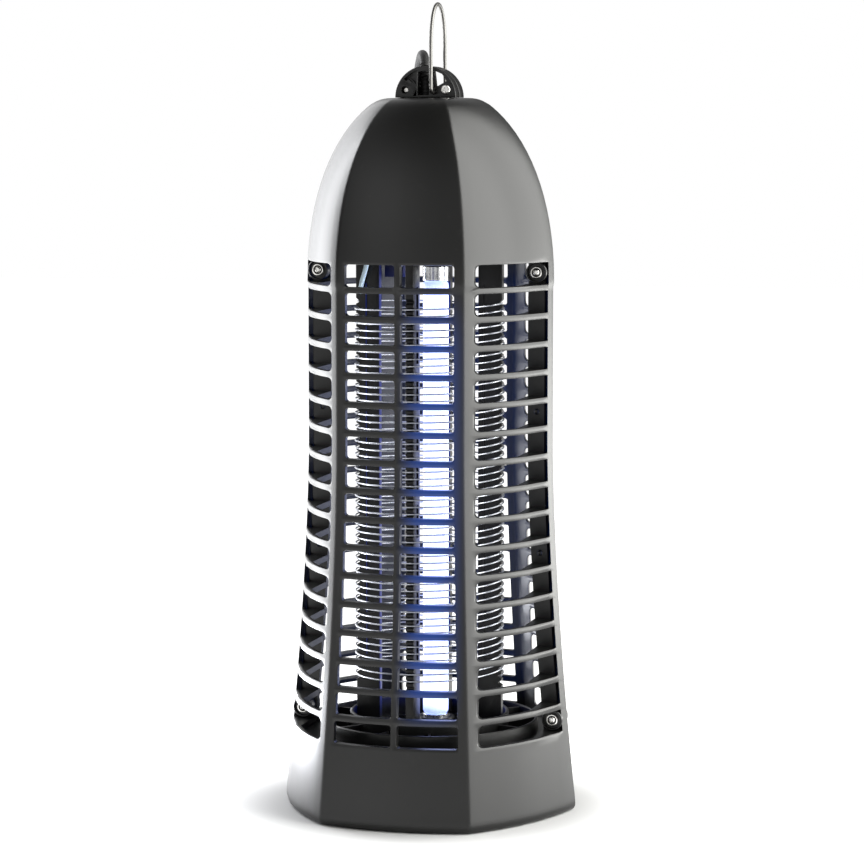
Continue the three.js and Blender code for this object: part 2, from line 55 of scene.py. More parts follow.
def addCamera():
    data = bpy.data.cameras.new("camera")
    data.lens = camera["lens"]
    data.shift_x = camera["shiftX"]
    data.clip_end = 50
    holder = bpy.data.objects.new("camera", data)
    bpy.context.collection.objects.link(holder)
    azimuth = math.radians(camera["azimuth"])
    elevation = math.radians(camera["elevation"])
    back = Vector((math.sin(azimuth) * math.cos(elevation),
                   -math.cos(azimuth) * math.cos(elevation), math.sin(elevation)))
    holder.location = Vector((0, 0, camera["aimHeight"])) + back * camera["distance"]
    holder.rotation_euler = back.to_track_quat("Z", "Y").to_euler()
    bpy.context.scene.camera = holder


# ---- shader maths ----

class Link:
    # a socket that adds its own maths nodes
    def __init__(self, shader, socket):
        self.shader = shader
        self.socket = socket

    def maths(self, operation, *others):
        return self.shader.node("ShaderNodeMath", {"operation": operation}, dict(enumerate((self,) + others)))

    def __add__(self, other):
        return self.maths("ADD", other)

    def __sub__(self, other):
        return self.maths("SUBTRACT", other)

    def __mul__(self, other):
        return self.maths("MULTIPLY", other)

    def __truediv__(self, other):
        return self.maths("DIVIDE", other)

    def __pow__(self, other):
        return self.maths("POWER", other)

    def __rsub__(self, other):
        return self.shader.node("ShaderNodeMath", {"operation": "SUBTRACT"}, {0: other, 1: self})

    def __neg__(self):
        return self * -1

    __radd__ = __add__
    __rmul__ = __mul__

    def clamped(self):
        return self.shader.node("ShaderNodeClamp", {}, {0: self})

    def size(self):
        return self.maths("ABSOLUTE")

    def ramp(self, low, high, fromLow=0.0, fromHigh=1.0):
        return self.shader.node("ShaderNodeMapRange", {}, {0: self, 1: fromLow, 2: fromHigh, 3: low, 4: high})

    def smooth(self, fromLow, fromHigh, low=0.0, high=1.0):
        return self.shader.node("ShaderNodeMapRange", {"interpolation_type": "SMOOTHSTEP"},
                                {0: self, 1: fromLow, 2: fromHigh, 3: low, 4: high})

    def stops(self, spots):
        # a grey level at each spot along the way, blended between them
        made = self.shader.node("ShaderNodeValToRGB", {}, {0: self})
        elements = made.socket.node.color_ramp.elements
        while len(elements) < len(spots):
            elements.new(0.5)
        for element, (spot, level) in zip(elements, spots):
            element.position = spot
            element.color = grey(level)
        return made


class Shader:
    # the nodes of a new material or world
    def __init__(self, name, stock="materials", coordinates="Object"):
        self.owner = getattr(bpy.data, stock).new(name)
        self.owner.use_nodes = True
        self.tree = self.owner.node_tree
        self.tree.nodes.clear()
        self.place = self.node("ShaderNodeTexCoord", {}, {}, coordinates)

    def node(self, kind, settings, values, output=0):
        made = self.tree.nodes.new(kind)
        for key, value in settings.items():
            setattr(made, key, value)
        for key, value in values.items():
            target = made.inputs[key]
            if isinstance(value, Link):
                self.tree.links.new(value.socket, target)
            else:
                target.default_value = value
        return Link(self, made.outputs[output]) if len(made.outputs) else None

    def vector(self, operation, first, second, output=0):
        return self.node("ShaderNodeVectorMath", {"operation": operation}, {0: first, 1: second}, output)

    def axes(self):
        return [self.node("ShaderNodeSeparateXYZ", {}, {0: self.place}, i) for i in range(3)]

    def noise(self, scale, detail=3.0, roughness=0.5, stretch=None):
        vector = self.vector("MULTIPLY", self.place, stretch) if stretch else self.place
        values = {"Vector": vector, "Scale": scale, "Detail": detail, "Roughness": roughness}
        return self.node("ShaderNodeTexNoise", {}, values)

    def blend(self, factor, first, second):
        return self.node("ShaderNodeMix", {"data_type": "RGBA"}, {0: factor, 6: first, 7: second}, 2)

    def bump(self, height, strength, distance):
        return self.node("ShaderNodeBump", {}, {"Height": height, "Strength": strength, "Distance": distance})

    def paintedLampLight(self):
        # a mask for painted lamp light: how much of the lamp's light would fall on a spot, from its distance
        # and the way it faces
        x, y, z = self.axes()
        toLamp = self.node("ShaderNodeCombineXYZ", {}, {0: 0.004 - x, 1: -y})
        distance = self.node("ShaderNodeVectorMath", {"operation": "LENGTH"}, {0: toLamp}, "Value")
        normal = self.node("ShaderNodeNewGeometry", {}, {}, "Normal")
        facing = self.vector("DOT_PRODUCT", toLamp, normal, "Value")
        rows = z.smooth(0.05, 0.075) * z.smooth(0.315, 0.345, 1.0, 0.0)
        return (facing / distance).clamped() * distance.smooth(0.015, 0.1, 1.0, 0.0) * rows

    def finish(self, values):
        surface = self.node("ShaderNodeBsdfPrincipled", {}, values)
        self.node("ShaderNodeOutputMaterial", {}, {"Surface": surface})
        return self.owner


def grey(level, tint=(1.0, 1.0, 1.0)):
    return (level * tint[0], level * tint[1], level * tint[2], 1.0)


# ---- finishes ----

# the last four entries are painted lamp light: its colour and strength, and the middle and reach of the light
# painted over the front slats
casingFinish = {
    "colour": 0.0025, "tint": (1.0, 1.0, 0.92), "roughness": 0.29, "grain": 900.0, "ior": 1.46,
    "paintedGlow": (0.004, 0.10, 0.62, 1.0), "paintedGlowStrength": 0.36, "paintedGlowCentre": 0.0205, "paintedGlowReach": 0.022,
}


def casingPlastic(name, paintedSlatLight):
    s = Shader(name)
    v = casingFinish
    cloud = s.noise(14.0, 4.0, 0.6)
    grain = s.noise(v["grain"], 2.0, 0.6)
    dust = s.noise(160.0, 3.0, 0.7).smooth(0.62, 0.82)
    colour = s.blend(cloud, grey(v["colour"] * 0.85, v["tint"]), grey(v["colour"] * 1.2, v["tint"]))
    colour = s.blend(dust * 0.05, colour, grey(0.12))
    values = {
        "Base Color": colour,
        "Roughness": cloud.ramp(v["roughness"] - 0.03, v["roughness"] + 0.04) + grain * 0.03,
        "Normal": s.bump(grain * 0.6 + s.noise(55.0, 2.0) * 0.4, 0.05, 0.0004),
        "IOR": v["ior"],
    }
    # painted lamp light: blue emission painted on faces turned to the lamp and near it, where the lamp would
    # light them
    lit = s.blend(s.paintedLampLight() * 0.6, grey(0.0), v["paintedGlow"])
    values["Emission Color"] = lit
    values["Emission Strength"] = v["paintedGlowStrength"]
    if paintedSlatLight:
        # painted light: the lamp's light, bleeding over the slats that stand before it, is painted on them in
        # blue
        x, y, z = s.axes()
        near = (x - v["paintedGlowCentre"]).size().smooth(0.003, v["paintedGlowReach"], 1.0, 0.0)
        rows = z.smooth(0.058, 0.09) * z.smooth(0.285, 0.33, 1.0, 0.0)
        facing = (-y).smooth(0.06, 0.064)
        values["Emission Color"] = s.blend(near * rows * facing, lit, v["paintedGlow"])
    return s.finish(values)


def innerPlastic():
    s = Shader("innerPlastic")
    cloud = s.noise(30.0, 4.0)
    dust = s.noise(220.0, 3.0, 0.7).smooth(0.58, 0.8)
    colour = s.blend(cloud, grey(0.004), grey(0.008))
    return s.finish({
        "Base Color": s.blend(dust * 0.05, colour, grey(0.1)),
        "Roughness": cloud.ramp(0.30, 0.42),
        "Normal": s.bump(s.noise(700.0, 2.0), 0.08, 0.0003),
        "IOR": 1.42,
        # painted lamp light: blue emission painted on faces turned to the lamp and near it
        "Emission Color": s.blend(s.paintedLampLight(), grey(0.0), (0.01, 0.035, 0.42, 1.0)),
        "Emission Strength": 0.55,
    })


def plate(name, colour, roughness, scale=260.0, stretch=(1.0, 1.0, 1.0)):
    s = Shader(name)
    fine = s.noise(scale, 4.0, 0.6, stretch)
    broad = s.noise(scale * 0.08, 3.0)
    stain = broad.smooth(0.45, 0.75)
    dark = tuple(c * 0.72 for c in colour[:3]) + (1.0,)
    return s.finish({
        "Base Color": s.blend(stain * 0.55, colour, dark),
        "Metallic": 1.0,
        "Roughness": fine.ramp(roughness - 0.06, roughness + 0.10) + stain * 0.06,
        "Normal": s.bump(fine, 0.12, 0.0002),
    })


def lampGlass():
    s = Shader("lampGlass")
    x, y, z = s.axes()
    ends = z.smooth(0.0575, 0.064) * z.smooth(0.3185, 0.325, 1.0, 0.0)
    powder = s.noise(90.0, 4.0, 0.6)
    colour = s.blend(ends, (0.12, 0.16, 0.42, 1.0), (0.36, 0.44, 1.0, 1.0))
    lit = s.blend(powder * 0.10, colour, (0.30, 0.38, 0.95, 1.0))
    return s.finish({
        "Base Color": s.blend(powder, (0.72, 0.80, 0.95, 1.0), (0.80, 0.86, 0.98, 1.0)),
        "Roughness": powder.ramp(0.08, 0.16),
        "Emission Color": lit,
        "Emission Strength": 2.7,
    })


def softPlastic(name, colour, roughness, scale=420.0, strength=0.12):
    s = Shader(name)
    cloud = s.noise(scale * 0.06, 4.0)
    fine = s.noise(scale, 3.0, 0.6)
    light = tuple(min(1.0, c * 1.35) for c in colour[:3]) + (1.0,)
    return s.finish({
        "Base Color": s.blend(cloud, colour, light),
        "Roughness": cloud.ramp(roughness - 0.06, roughness + 0.08),
        "Normal": s.bump(fine, strength, 0.0003),
        "IOR": 1.36,
    })


def boardFinish():
    s = Shader("boardFinish")
    tracks = s.node("ShaderNodeTexBrick", {}, {"Vector": s.place, "Scale": 120.0, "Mortar Size": 0.03}, "Fac")
    colour = s.blend(tracks, (0.02, 0.11, 0.04, 1.0), (0.05, 0.22, 0.08, 1.0))
    return s.finish({"Base Color": colour, "Roughness": s.noise(300.0).ramp(0.3, 0.45),
                     "Normal": s.bump(tracks, 0.2, 0.0002)})


def lamination():
    s = Shader("lamination")
    sheets = s.node("ShaderNodeTexWave", {"bands_direction": "Z"},
                    {"Vector": s.place, "Scale": 320.0, "Distortion": 0.2})
    rust = s.noise(120.0, 4.0, 0.7).smooth(0.55, 0.8)
    colour = s.blend(sheets, grey(0.05), grey(0.14))
    return s.finish({"Base Color": s.blend(rust * 0.3, colour, (0.10, 0.05, 0.03, 1.0)), "Metallic": 0.7,
                     "Roughness": sheets.ramp(0.4, 0.6), "Normal": s.bump(sheets, 0.3, 0.0004)})


print("finishes")
finishes = {
    # casing and plainCasing both carry painted lamp light on faces turned to the lamp; casing also has the
    # lamp's light painted over the front slats
    "casing": casingPlastic("casing", True),
    "plainCasing": casingPlastic("plainCasing", False),
    "inner": innerPlastic(),
    "steel": plate("brightPlate", (0.80, 0.79, 0.76, 1.0), 0.18),
    "bail": plate("bentWire", (0.17, 0.166, 0.158, 1.0), 0.34),
    "wire": plate("drawnWire", (0.66, 0.68, 0.74, 1.0), 0.26, 900.0, (1.0, 1.0, 6.0)),
    "aluminium": plate("rolledAluminium", (0.86, 0.87, 0.88, 1.0), 0.22, 500.0, (1.0, 1.0, 0.1)),
    "glass": lampGlass(),
    "rubber": softPlastic("footRubber", grey(0.018), 0.7),
    "sheath": softPlastic("cordSheath", grey(0.010), 0.5),
    "sleeve": softPlastic("leadSleeve", (0.60, 0.76, 0.90, 1.0), 0.35),
    "board": boardFinish(),
    "iron": lamination(),
    "capacitor": softPlastic("capacitorSleeve", (0.03, 0.06, 0.25, 1.0), 0.3),
}


# ---- mesh helpers: shapes are drawn in millimetres ----

def meshObject(name, verts, faces, finish, sharp=35.0):
    mesh = bpy.data.meshes.new(name)
    mesh.from_pydata([Vector(v) * mm for v in verts], [], faces)
    mesh.validate()
    return dressed(name, mesh, finish, sharp)


def shaded(mesh, sharp):
    # smooth, with the edges sharper than an angle kept crisp
    mesh.polygons.foreach_set("use_smooth", [True] * len(mesh.polygons))
    mesh.set_sharp_from_angle(angle=math.radians(sharp))


def placed(name, data):
    thing = bpy.data.objects.new(name, data)
    bpy.context.collection.objects.link(thing)
    return thing


def dressed(name, mesh, finish, sharp=35.0):
    work = bmesh.new()
    work.from_mesh(mesh)
    bmesh.ops.remove_doubles(work, verts=work.verts, dist=0.000004)
    bmesh.ops.recalc_face_normals(work, faces=work.faces)
    work.to_mesh(mesh)
    work.free()
    shaded(mesh, sharp)
    mesh.materials.clear()
    mesh.materials.append(finishes[finish])
    return placed(name, mesh)


def fitted(thing, body, slot, *nodes):
    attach(thing, body)
    if nodes:
        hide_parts(*nodes)
    return thing


def applied(thing):
    # the object's modifiers or curve, made into plain mesh
    graph = bpy.context.evaluated_depsgraph_get()
    graph.update()
    return bpy.data.meshes.new_from_object(thing.evaluated_get(graph))


def settled(thing):
    mesh = applied(thing)
    thing.modifiers.clear()
    thing.data = mesh
    return thing


def cutAway(thing, *cutters):
    for cutter in cutters:
        step = thing.modifiers.new("cut", "BOOLEAN")
        step.operation = "DIFFERENCE"
        step.solver = "EXACT"
        step.object = cutter
    settled(thing)
    for cutter in cutters:
        bpy.data.objects.remove(cutter)
    return thing


def rounded(thing, width, segments=2, angle=40.0):
    step = thing.modifiers.new("edge", "BEVEL")
    step.width = width * mm
    step.segments = segments
    step.limit_method = "ANGLE"
    step.angle_limit = math.radians(angle)
    step.harden_normals = False
    shaded(settled(thing).data, 50)
    return thing


def merge(target, *others):
    work = bmesh.new()
    work.from_mesh(target.data)
    for other in others:
        work.from_mesh(other.data)
        bpy.data.objects.remove(other)
    work.to_mesh(target.data)
    work.free()


def turned(profile, sides, axis="Z"):
    # a closed lathe: profile points are (radius, height), starting and ending on the axis
    verts, faces, rings = [], [], []
    for radius, height in profile:
        if radius < 1e-6:
            verts.append((0.0, 0.0, height))
            rings.append([len(verts) - 1])
            continue
        start = len(verts)
        for i in range(sides):
            angle = 2 * math.pi * i / sides
            verts.append((radius * math.cos(angle), radius * math.sin(angle), height))
        rings.append(list(range(start, start + sides)))
    for lower, upper in zip(rings, rings[1:]):
        for i in range(sides):
            j = (i + 1) % sides
            if len(lower) == 1 and len(upper) == 1:
                continue
            if len(lower) == 1:
                faces.append((lower[0], upper[j], upper[i]))
            elif len(upper) == 1:
                faces.append((lower[i], lower[j], upper[0]))
            else:
                faces.append((lower[i], lower[j], upper[j], upper[i]))
    if axis == "-Y":  # the profile's height runs towards -Y
        verts = [(x, -z, y) for x, y, z in verts]
    return verts, faces


def moved(shape, offset):
    verts, faces = shape
    return [(x + offset[0], y + offset[1], z + offset[2]) for x, y, z in verts], faces


def spun(points, turn):
    # points turned about the upright axis
    c, s = math.cos(turn), math.sin(turn)
    return [(x * c - y * s, x * s + y * c, *rest) for x, y, *rest in points]


def joined(*shapes):
    verts, faces = [], []
    for shapeVerts, shapeFaces in shapes:
        start = len(verts)
        verts += shapeVerts
        faces += [tuple(start + i for i in face) for face in shapeFaces]
    return verts, faces


def prism(outline, low, high, plane="XY"):
    count = len(outline)
    if plane == "XY":
        verts = [(x, y, low) for x, y in outline] + [(x, y, high) for x, y in outline]
    else:
        verts = [(x, low, z) for x, z in outline] + [(x, high, z) for x, z in outline]
    faces = [tuple(range(count))[::-1], tuple(range(count, 2 * count))]
    for i in range(count):
        j = (i + 1) % count
        faces.append((i, j, count + j, count + i))
    return verts, faces


def block(x0, x1, y0, y1, z0, z1):
    return prism([(x0, y0), (x1, y0), (x1, y1), (x0, y1)], z0, z1)


def curvePoints(points, step=2.0, closed=False):
    # a centripetal curve through points, resampled to about one point per step
    p = [Vector(q) for q in points]
    p = [p[0] * 2 - p[1]] + p + [p[-1] * 2 - p[-2]]
    path = []
    for i in range(1, len(p) - 2):
        a, b, c, d = p[i - 1:i + 3]
        t0 = 0.0
        t1 = math.sqrt((b - a).length)
        t2 = t1 + math.sqrt((c - b).length)
        t3 = t2 + math.sqrt((d - c).length)
        count = max(2, round((c - b).length / step))
        for k in range(count):
            t = t1 + (t2 - t1) * k / count
            ab = a * ((t1 - t) / (t1 - t0)) + b * ((t - t0) / (t1 - t0))
            bc = b * ((t2 - t) / (t2 - t1)) + c * ((t - t1) / (t2 - t1))
            cd = c * ((t3 - t) / (t3 - t2)) + d * ((t - t2) / (t3 - t2))
            abc = ab * ((t2 - t) / (t2 - t0)) + bc * ((t - t0) / (t2 - t0))
            bcd = bc * ((t3 - t) / (t3 - t1)) + cd * ((t - t1) / (t3 - t1))
            path.append(abc * ((t2 - t) / (t2 - t1)) + bcd * ((t - t1) / (t2 - t1)))
    path.append(p[-2])
    return path


def rodCurve(name, points, radius, finish, roundness=3):
    data = bpy.data.curves.new(name, "CURVE")
    data.dimensions = "3D"
    data.bevel_depth = radius * mm
    data.bevel_resolution = roundness
    data.use_fill_caps = True
    data.twist_mode = "MINIMUM"
    spline = data.splines.new("POLY")
    spline.points.add(len(points) - 1)
    for target, point in zip(spline.points, points):
        target.co = (*(Vector(point) * mm), 1.0)
    spline.use_smooth = True
    data.materials.append(finishes[finish])
    return placed(name, data)


def rodMesh(name, points, radius, finish, roundness=3):
    curve = rodCurve(name + "Line", points, radius, finish, roundness)
    mesh = applied(curve)
    bpy.data.objects.remove(curve)
    return dressed(name, mesh, finish, 60.0)


def flatPiece(name, outlines, low, high, bevel, finish):
    # outlines in x and z, the first one outside and the rest holes, spread from y low to y high
    data = bpy.data.curves.new(name, "CURVE")
    data.dimensions = "2D"
    data.fill_mode = "BOTH"
    data.extrude = ((high - low) / 2 - bevel) * mm
    data.bevel_depth = bevel * mm
    data.bevel_resolution = 2
    data.offset = -bevel * mm
    for outline in outlines:
        spline = data.splines.new("POLY")
        spline.points.add(len(outline) - 1)
        for target, (x, z) in zip(spline.points, outline):
            target.co = (x * mm, z * mm, 0.0, 1.0)
        spline.use_cyclic_u = True
    flat = placed(name, data)
    mesh = applied(flat)
    bpy.data.objects.remove(flat)
    mesh.transform(Matrix.Rotation(math.pi / 2, 4, "X"))
    mesh.transform(Matrix.Translation((0, (low + high) / 2 * mm, 0)))
    return dressed(name, mesh, finish, 40.0)


def arc(cx, cz, radius, start, end, count):
    angles = [math.radians(start + (end - start) * i / count) for i in range(count + 1)]
    return [(cx + radius * math.cos(a), cz + radius * math.sin(a)) for a in angles]


# ---- mains lead, coil and plug ----

lead = {
    "radius": 3.0,
    "exit": (-2.0, 0.0, 437.6),
    "straight": 2.5,
    "bend": 24.5,
    "heading": 21.0,  # degrees to the left of straight back
    "bendEnd": 100.0,
    "coilCentre": (-82.0, 134.0),
    "coilRadii": (36.0, 30.0),
    "coilHeights": (3.15, 9.15),
    "coilTurns": 3.1,
    "coilSteps": 74,
    "length": 1.24,
}

fallRoute = [
    (-15.8, 36, 460.6), (-19.6, 44.6, 452.6), (-23.2, 52.4, 441.5), (-26.6, 59.2, 428),
    (-30, 64.8, 412.5), (-33.4, 69.2, 395.5), (-36.6, 72.6, 377), (-39.6, 75.4, 357),
    (-42.4, 77.8, 336), (-45, 80, 312), (-47.2, 82, 284), (-48.8, 83.6, 250),
    (-49.8, 85, 210), (-50.5, 86.2, 168), (-51, 87.2, 126), (-51.4, 88.2, 90),
    (-51.6, 89.8, 60), (-51.6, 93.2, 35), (-51.2, 99.4, 17.5),
]
landing = [(-50.2, 107.2, 8.2), (-48.6, 116.0, 4.3), (-46.8, 125.2, 3.15)]
tailRoute = [(-71.6, 179.6, 7.3), (-77, 182.4, 7), (-80.4, 183, 7), (-83.6, 183, 7)]


def leadCentre(length):
    turn = max(0.0, length - lead["straight"]) / lead["bend"]
    heading = math.radians(lead["heading"])
    out = lead["bend"] * (1 - math.cos(turn))
    x, y, z = lead["exit"]
    rise = min(length, lead["straight"]) + lead["bend"] * math.sin(turn)
    return Vector((x - math.sin(heading) * out, y + math.cos(heading) * out, z + rise))


def eased(turn, start, end):
    share = min(1.0, max(0.0, (turn - start) / (end - start)))
    return share * share * (3 - 2 * share)


def coilPoint(turn):
    # a wide turn on the floor, a narrow one inside it, then on top of them a narrow and a wide one
    wide, narrow = lead["coilRadii"]
    low, high = lead["coilHeights"]
    radius = wide + (narrow - wide) * (eased(turn, 0.80, 1.0) - eased(turn, 2.42, 2.62))
    height = low + (high - low) * eased(turn, 1.60, 1.80)
    angle = 2 * math.pi * turn
    cx, cy = lead["coilCentre"]
    return Vector((cx + radius * math.cos(angle), cy + radius * math.sin(angle), height))


def leadRoute():
    bendLength = lead["straight"] + lead["bend"] * math.radians(lead["bendEnd"])
    points = [leadCentre(0.8 + (bendLength - 0.8) * i / 14) for i in range(15)]
    points += [Vector(p) for p in fallRoute + landing]
    turns, steps = lead["coilTurns"], lead["coilSteps"]
    points += [coilPoint(turns * i / steps) for i in range(steps + 1)]
    cx, cy = lead["coilCentre"]
    for angle, radius, height in ((50, 38.6, 8.9), (64, 42.8, 8.3)):
        a = math.radians(angle)
        points.append(Vector((cx + radius * math.cos(a), cy + radius * math.sin(a), height)))
    points += [Vector(p) for p in tailRoute]
    return curvePoints(points, 2.5)


def routeLength(points):
    return sum((b - a).length for a, b in zip(points, points[1:])) * mm


def addRelief():
    # ribbed and tapered, bent with the lead
    collar = [(0, -7), (6.6, -7), (6.6, -2.6), (4.4, -2.6), (4.4, 0.6)]
    ribs = []
    for i in range(9):
        base = 1.2 + i * 2.25
        radius = 4.35 - 0.085 * i
        ribs += [(radius, base), (radius, base + 1.25),
                 (radius - 0.55, base + 1.45), (radius - 0.55, base + 2.05)]
    tip = [(3.55, 21.6), (3.3, 22.0), (0, 22.0)]
    verts, faces = turned(collar + ribs + tip, 28)
    heading = math.radians(lead["heading"])
    forward = Vector((-math.sin(heading), math.cos(heading), 0))
    across = Vector((math.cos(heading), math.sin(heading), 0))
    bent = []
    for x, y, z in verts:
        turn = max(0.0, z - lead["straight"]) / lead["bend"]
        spot = leadCentre(z) + forward * (y * math.cos(turn)) + across * x
        spot.z -= y * math.sin(turn)
        bent.append(spot)
    relief = meshObject("strainRelief", bent, faces, "sheath")
    return fitted(relief, "housing", "cord_sheath", "strain_relief")


plug = {
    "lead": 0.4, "y": 183.0, "z": 7.0, "halfThick": 6.4, "grooves": 4, "groovePitch": 3.2,
    "pinStart": 33.2, "pinSide": 9.3,
}


def addPlug():
    x, y, z = tailRoute[-1][0] - plug["lead"], plug["y"], plug["z"]

    def laid(profile, side):
        # a turned part that lies along the plug, on one of its two sides
        verts, faces = turned(profile, 20)
        return [(x - plug["pinStart"] - c, y + side * plug["pinSide"] + a, z + b) for a, b, c in verts], faces

    flank = [(0, 4.6), (-4, 5.6), (-8, 8.2), (-13, 11.6), (-17, 12.8), (-33, 12.8), (-36.6, 11)]
    outline = [(a, -b) for a, b in flank] + [(-36.8, 0)] + flank[::-1]
    grip = prism(outline, -plug["halfThick"], plug["halfThick"])
    grip = rounded(meshObject("plugBody", *moved(grip, (x, y, z)), "sheath"), 2.2, 4, 30.0)
    cutters = []
    for i in range(plug["grooves"]):
        gx = x - 17.5 - i * plug["groovePitch"]
        for side in (-1, 1):
            gz = z + side * 6.9
            groove = block(gx - 0.7, gx + 0.7, y - 9, y + 9, gz - 1.1, gz + 1.1)
            cutters.append(meshObject("groove", *groove, "sheath"))
    for side in (-1, 1):
        cutters.append(meshObject("socket", *laid([(0, 0), (2.4, 0), (2.4, 6), (0, 6)], side), "sheath"))
    cutAway(grip, *cutters)
    shaded(grip.data, 40)
    pieces = [fitted(grip, "housing", "cord_sheath", "plug_body")]
    profile = [(0, 0), (2.0, 0), (2.0, 10), (1.9, 10.2), (1.95, 19.5), (1.7, 21.2), (1.1, 21.9), (0, 22)]
    for label, side in (("a", -1), ("b", 1)):
        pin = meshObject("plugPin" + label.upper(), *laid(profile, side), "steel")
        pieces.append(fitted(pin, "housing", "steel", "plug_pin_" + label))
    return pieces


def addTie():
    # a flat strap over the coil, its ends tucked down
    cx, cy = lead["coilCentre"]
    angle = math.radians(215)
    path = [(26.2, 0.6), (26.2, 6), (26.3, 11.2), (27.3, 12.7), (30, 12.9), (33, 12.6), (36, 12.9),
            (38.7, 12.7), (39.7, 11.2), (39.8, 6), (39.8, 0.6)]
    verts, faces = [], []
    for i, (r, h) in enumerate(path):
        before, after = Vector(path[max(0, i - 1)]), Vector(path[min(len(path) - 1, i + 1)])
        along = (after - before).normalized()
        out = Vector((-along.y, along.x)) * 0.45
        for side, shift in ((-1.9, 1), (1.9, 1), (1.9, -1), (-1.9, -1)):
            rr, hh = r + out.x * shift, h + out.y * shift
            verts.append((cx + rr * math.cos(angle) - side * math.sin(angle),
                          cy + rr * math.sin(angle) + side * math.cos(angle), hh))
        if i:
            for k in range(4):
                j = (k + 1) % 4
                faces.append((4 * i - 4 + k, 4 * i - 4 + j, 4 * i + j, 4 * i + k))
    last = len(verts)
    faces += [(0, 1, 2, 3), (last - 1, last - 2, last - 3, last - 4)]
    tie = meshObject("cordTie", verts, faces, "sheath", 50.0)
    return fitted(tie, "housing", "cord_sheath", "cord_tie")


def addLead():
    route = leadRoute()
    cord = rodCurve("mainsCord", route, lead["radius"], "sheath", 4)
    fitted(cord, "housing", "cord_sheath", "mains_cord", "mains_cord_coil", "mains_cord_tail")
    addRelief()
    plug = addPlug()
    tie = addTie()
    print("lead is", round(routeLength(route), 4), "m long")
    tuple(route[0] * mm)
    plug + [tie]


addCamera()
addLead()
print("camera and lead")


# ---- body shape ----

body = {
    "baseRadius": 94.0, "waistRadius": 78.0, "waistHeight": 230.0, "flare": 1.6,
    "domeStart": 325.0, "domeRadius": 78.5, "domeRise": 121.0, "domePower": 2.15,
    "bulge": 5.9 / 78, "wall": 3.0, "frontDepth": 5.2, "seam": 0.15,
    "sill": 50.6, "openingHeight": 13.45, "pitch": 17.16, "rows": 17,
    "mullionHalf": 1.85, "frontMargin": 5.5, "sideMargin": 5.0, "rearSideMargin": 8.0, "seamMargin": 1.0,
    "edge": 0.45,  # rounding of the slats' edges
    "holeRounds": {"front": (1.6, 1.9), "side": (3.2, 1.4)},  # corner radii, near and far from the middle
    "flangeWidth": 15.2, "webBottom": 46.9, "webTop": 341.3,
}


def cornerRadius(z):
    if z >= body["domeStart"]:
        power = body["domePower"]
        share = (z - body["domeStart"]) / body["domeRise"]
        return body["domeRadius"] * (1 - share ** power) ** (1 / power)
    if z >= body["waistHeight"]:
        return body["waistRadius"]
    share = (body["waistHeight"] - z) / body["waistHeight"]
    return body["waistRadius"] + (body["baseRadius"] - body["waistRadius"]) * share ** body["flare"]


def unitPlan():
    # half of a bowed hexagon of corner radius 1, from -90 to 90 degrees off the front, corners softened
    spare = 60  # steps past each end, dropped once the corners are soft
    reach = 11  # steps to each side that soften a corner
    angles = np.radians(np.arange(-900 - spare, 901 + spare) / 10.0)
    sixth = math.pi / 3
    off = angles - sixth * np.round(angles / sixth)
    apothem = math.cos(math.pi / 6)
    along = np.zeros_like(off)
    for i in range(14):
        along = np.tan(off) * (apothem + body["bulge"] * (1 - along * along)) / 0.5
        along = np.clip(along, -1, 1)
    radius = np.hypot(apothem + body["bulge"] * (1 - along * along), along * 0.5)
    window = np.cos(np.linspace(-1, 1, 2 * reach + 1) * math.pi / 2) ** 2
    radius = np.convolve(radius, window / window.sum(), mode="same")
    inner = slice(spare, -spare)
    x = radius * np.sin(angles)
    y = -radius * np.cos(angles)
    dx, dy = np.gradient(x), np.gradient(y)
    length = np.hypot(dx, dy)
    return x[inner], y[inner], (-dy / length)[inner], (dx / length)[inner]


planX, planY, inX, inY = unitPlan()
planWidth = float(planX.max())


def depthAt(z, x, corner):
    # the front of the grille is deeper than the rest
    front = 1.0 - np.clip((np.abs(x) - (corner / 2 - 5.0)) / 4.0, 0, 1)
    rows = 1.0 if body["sill"] - 2 < z < 341 else 0.0
    return body["wall"] + (body["frontDepth"] - body["wall"]) * front * rows


def rowCurves(z, inward=0.0, corner=None):
    # outer and inner outlines of one height: y as a function of x
    size = cornerRadius(z) if corner is None else corner
    x, y = planX * size, planY * size
    if inward:
        x, y = x + inX * inward, y + inY * inward
    depth = depthAt(z, x, size)
    return {"z": z, "size": size, "outX": x, "outY": y, "inX": x + inX * depth, "inY": y + inY * depth}


def alongRow(row, x, inside=False):
    xs, ys = (row["inX"], row["inY"]) if inside else (row["outX"], row["outY"])
    return float(min(-body["seam"], np.interp(x, xs, ys)))


def rowWidth(row, inside=False):
    return float((row["inX"] if inside else row["outX"]).max())


# shares across an opening's cell: the first and last three belong to its rounded corners
cellShares = (0.0, 0.035, 0.09, 0.3, 0.5, 0.7, 0.91, 0.965, 1.0)


def columnLimits(row, inside, margin):
    # cell and bar limits along x, right half only; mirrored for the left
    size = row["size"]
    width = rowWidth(row, inside)
    if inside:
        return size / 2 - 4.4, size / 2 + margin - 1.8, width - 0.06
    return size / 2 - 4.0, size / 2 + margin - 1.5, width - 0.4


def columnXs(row, inside, margin):
    frontEnd, sideStart, sideEnd = columnLimits(row, inside, margin)
    right = [frontEnd * s for s in cellShares]
    right += [frontEnd + (sideStart - frontEnd) * i / 9 for i in range(1, 9)]
    right += [sideStart + (sideEnd - sideStart) * s for s in cellShares]
    right.append(rowWidth(row, inside))
    return [-x for x in reversed(right[1:])] + right


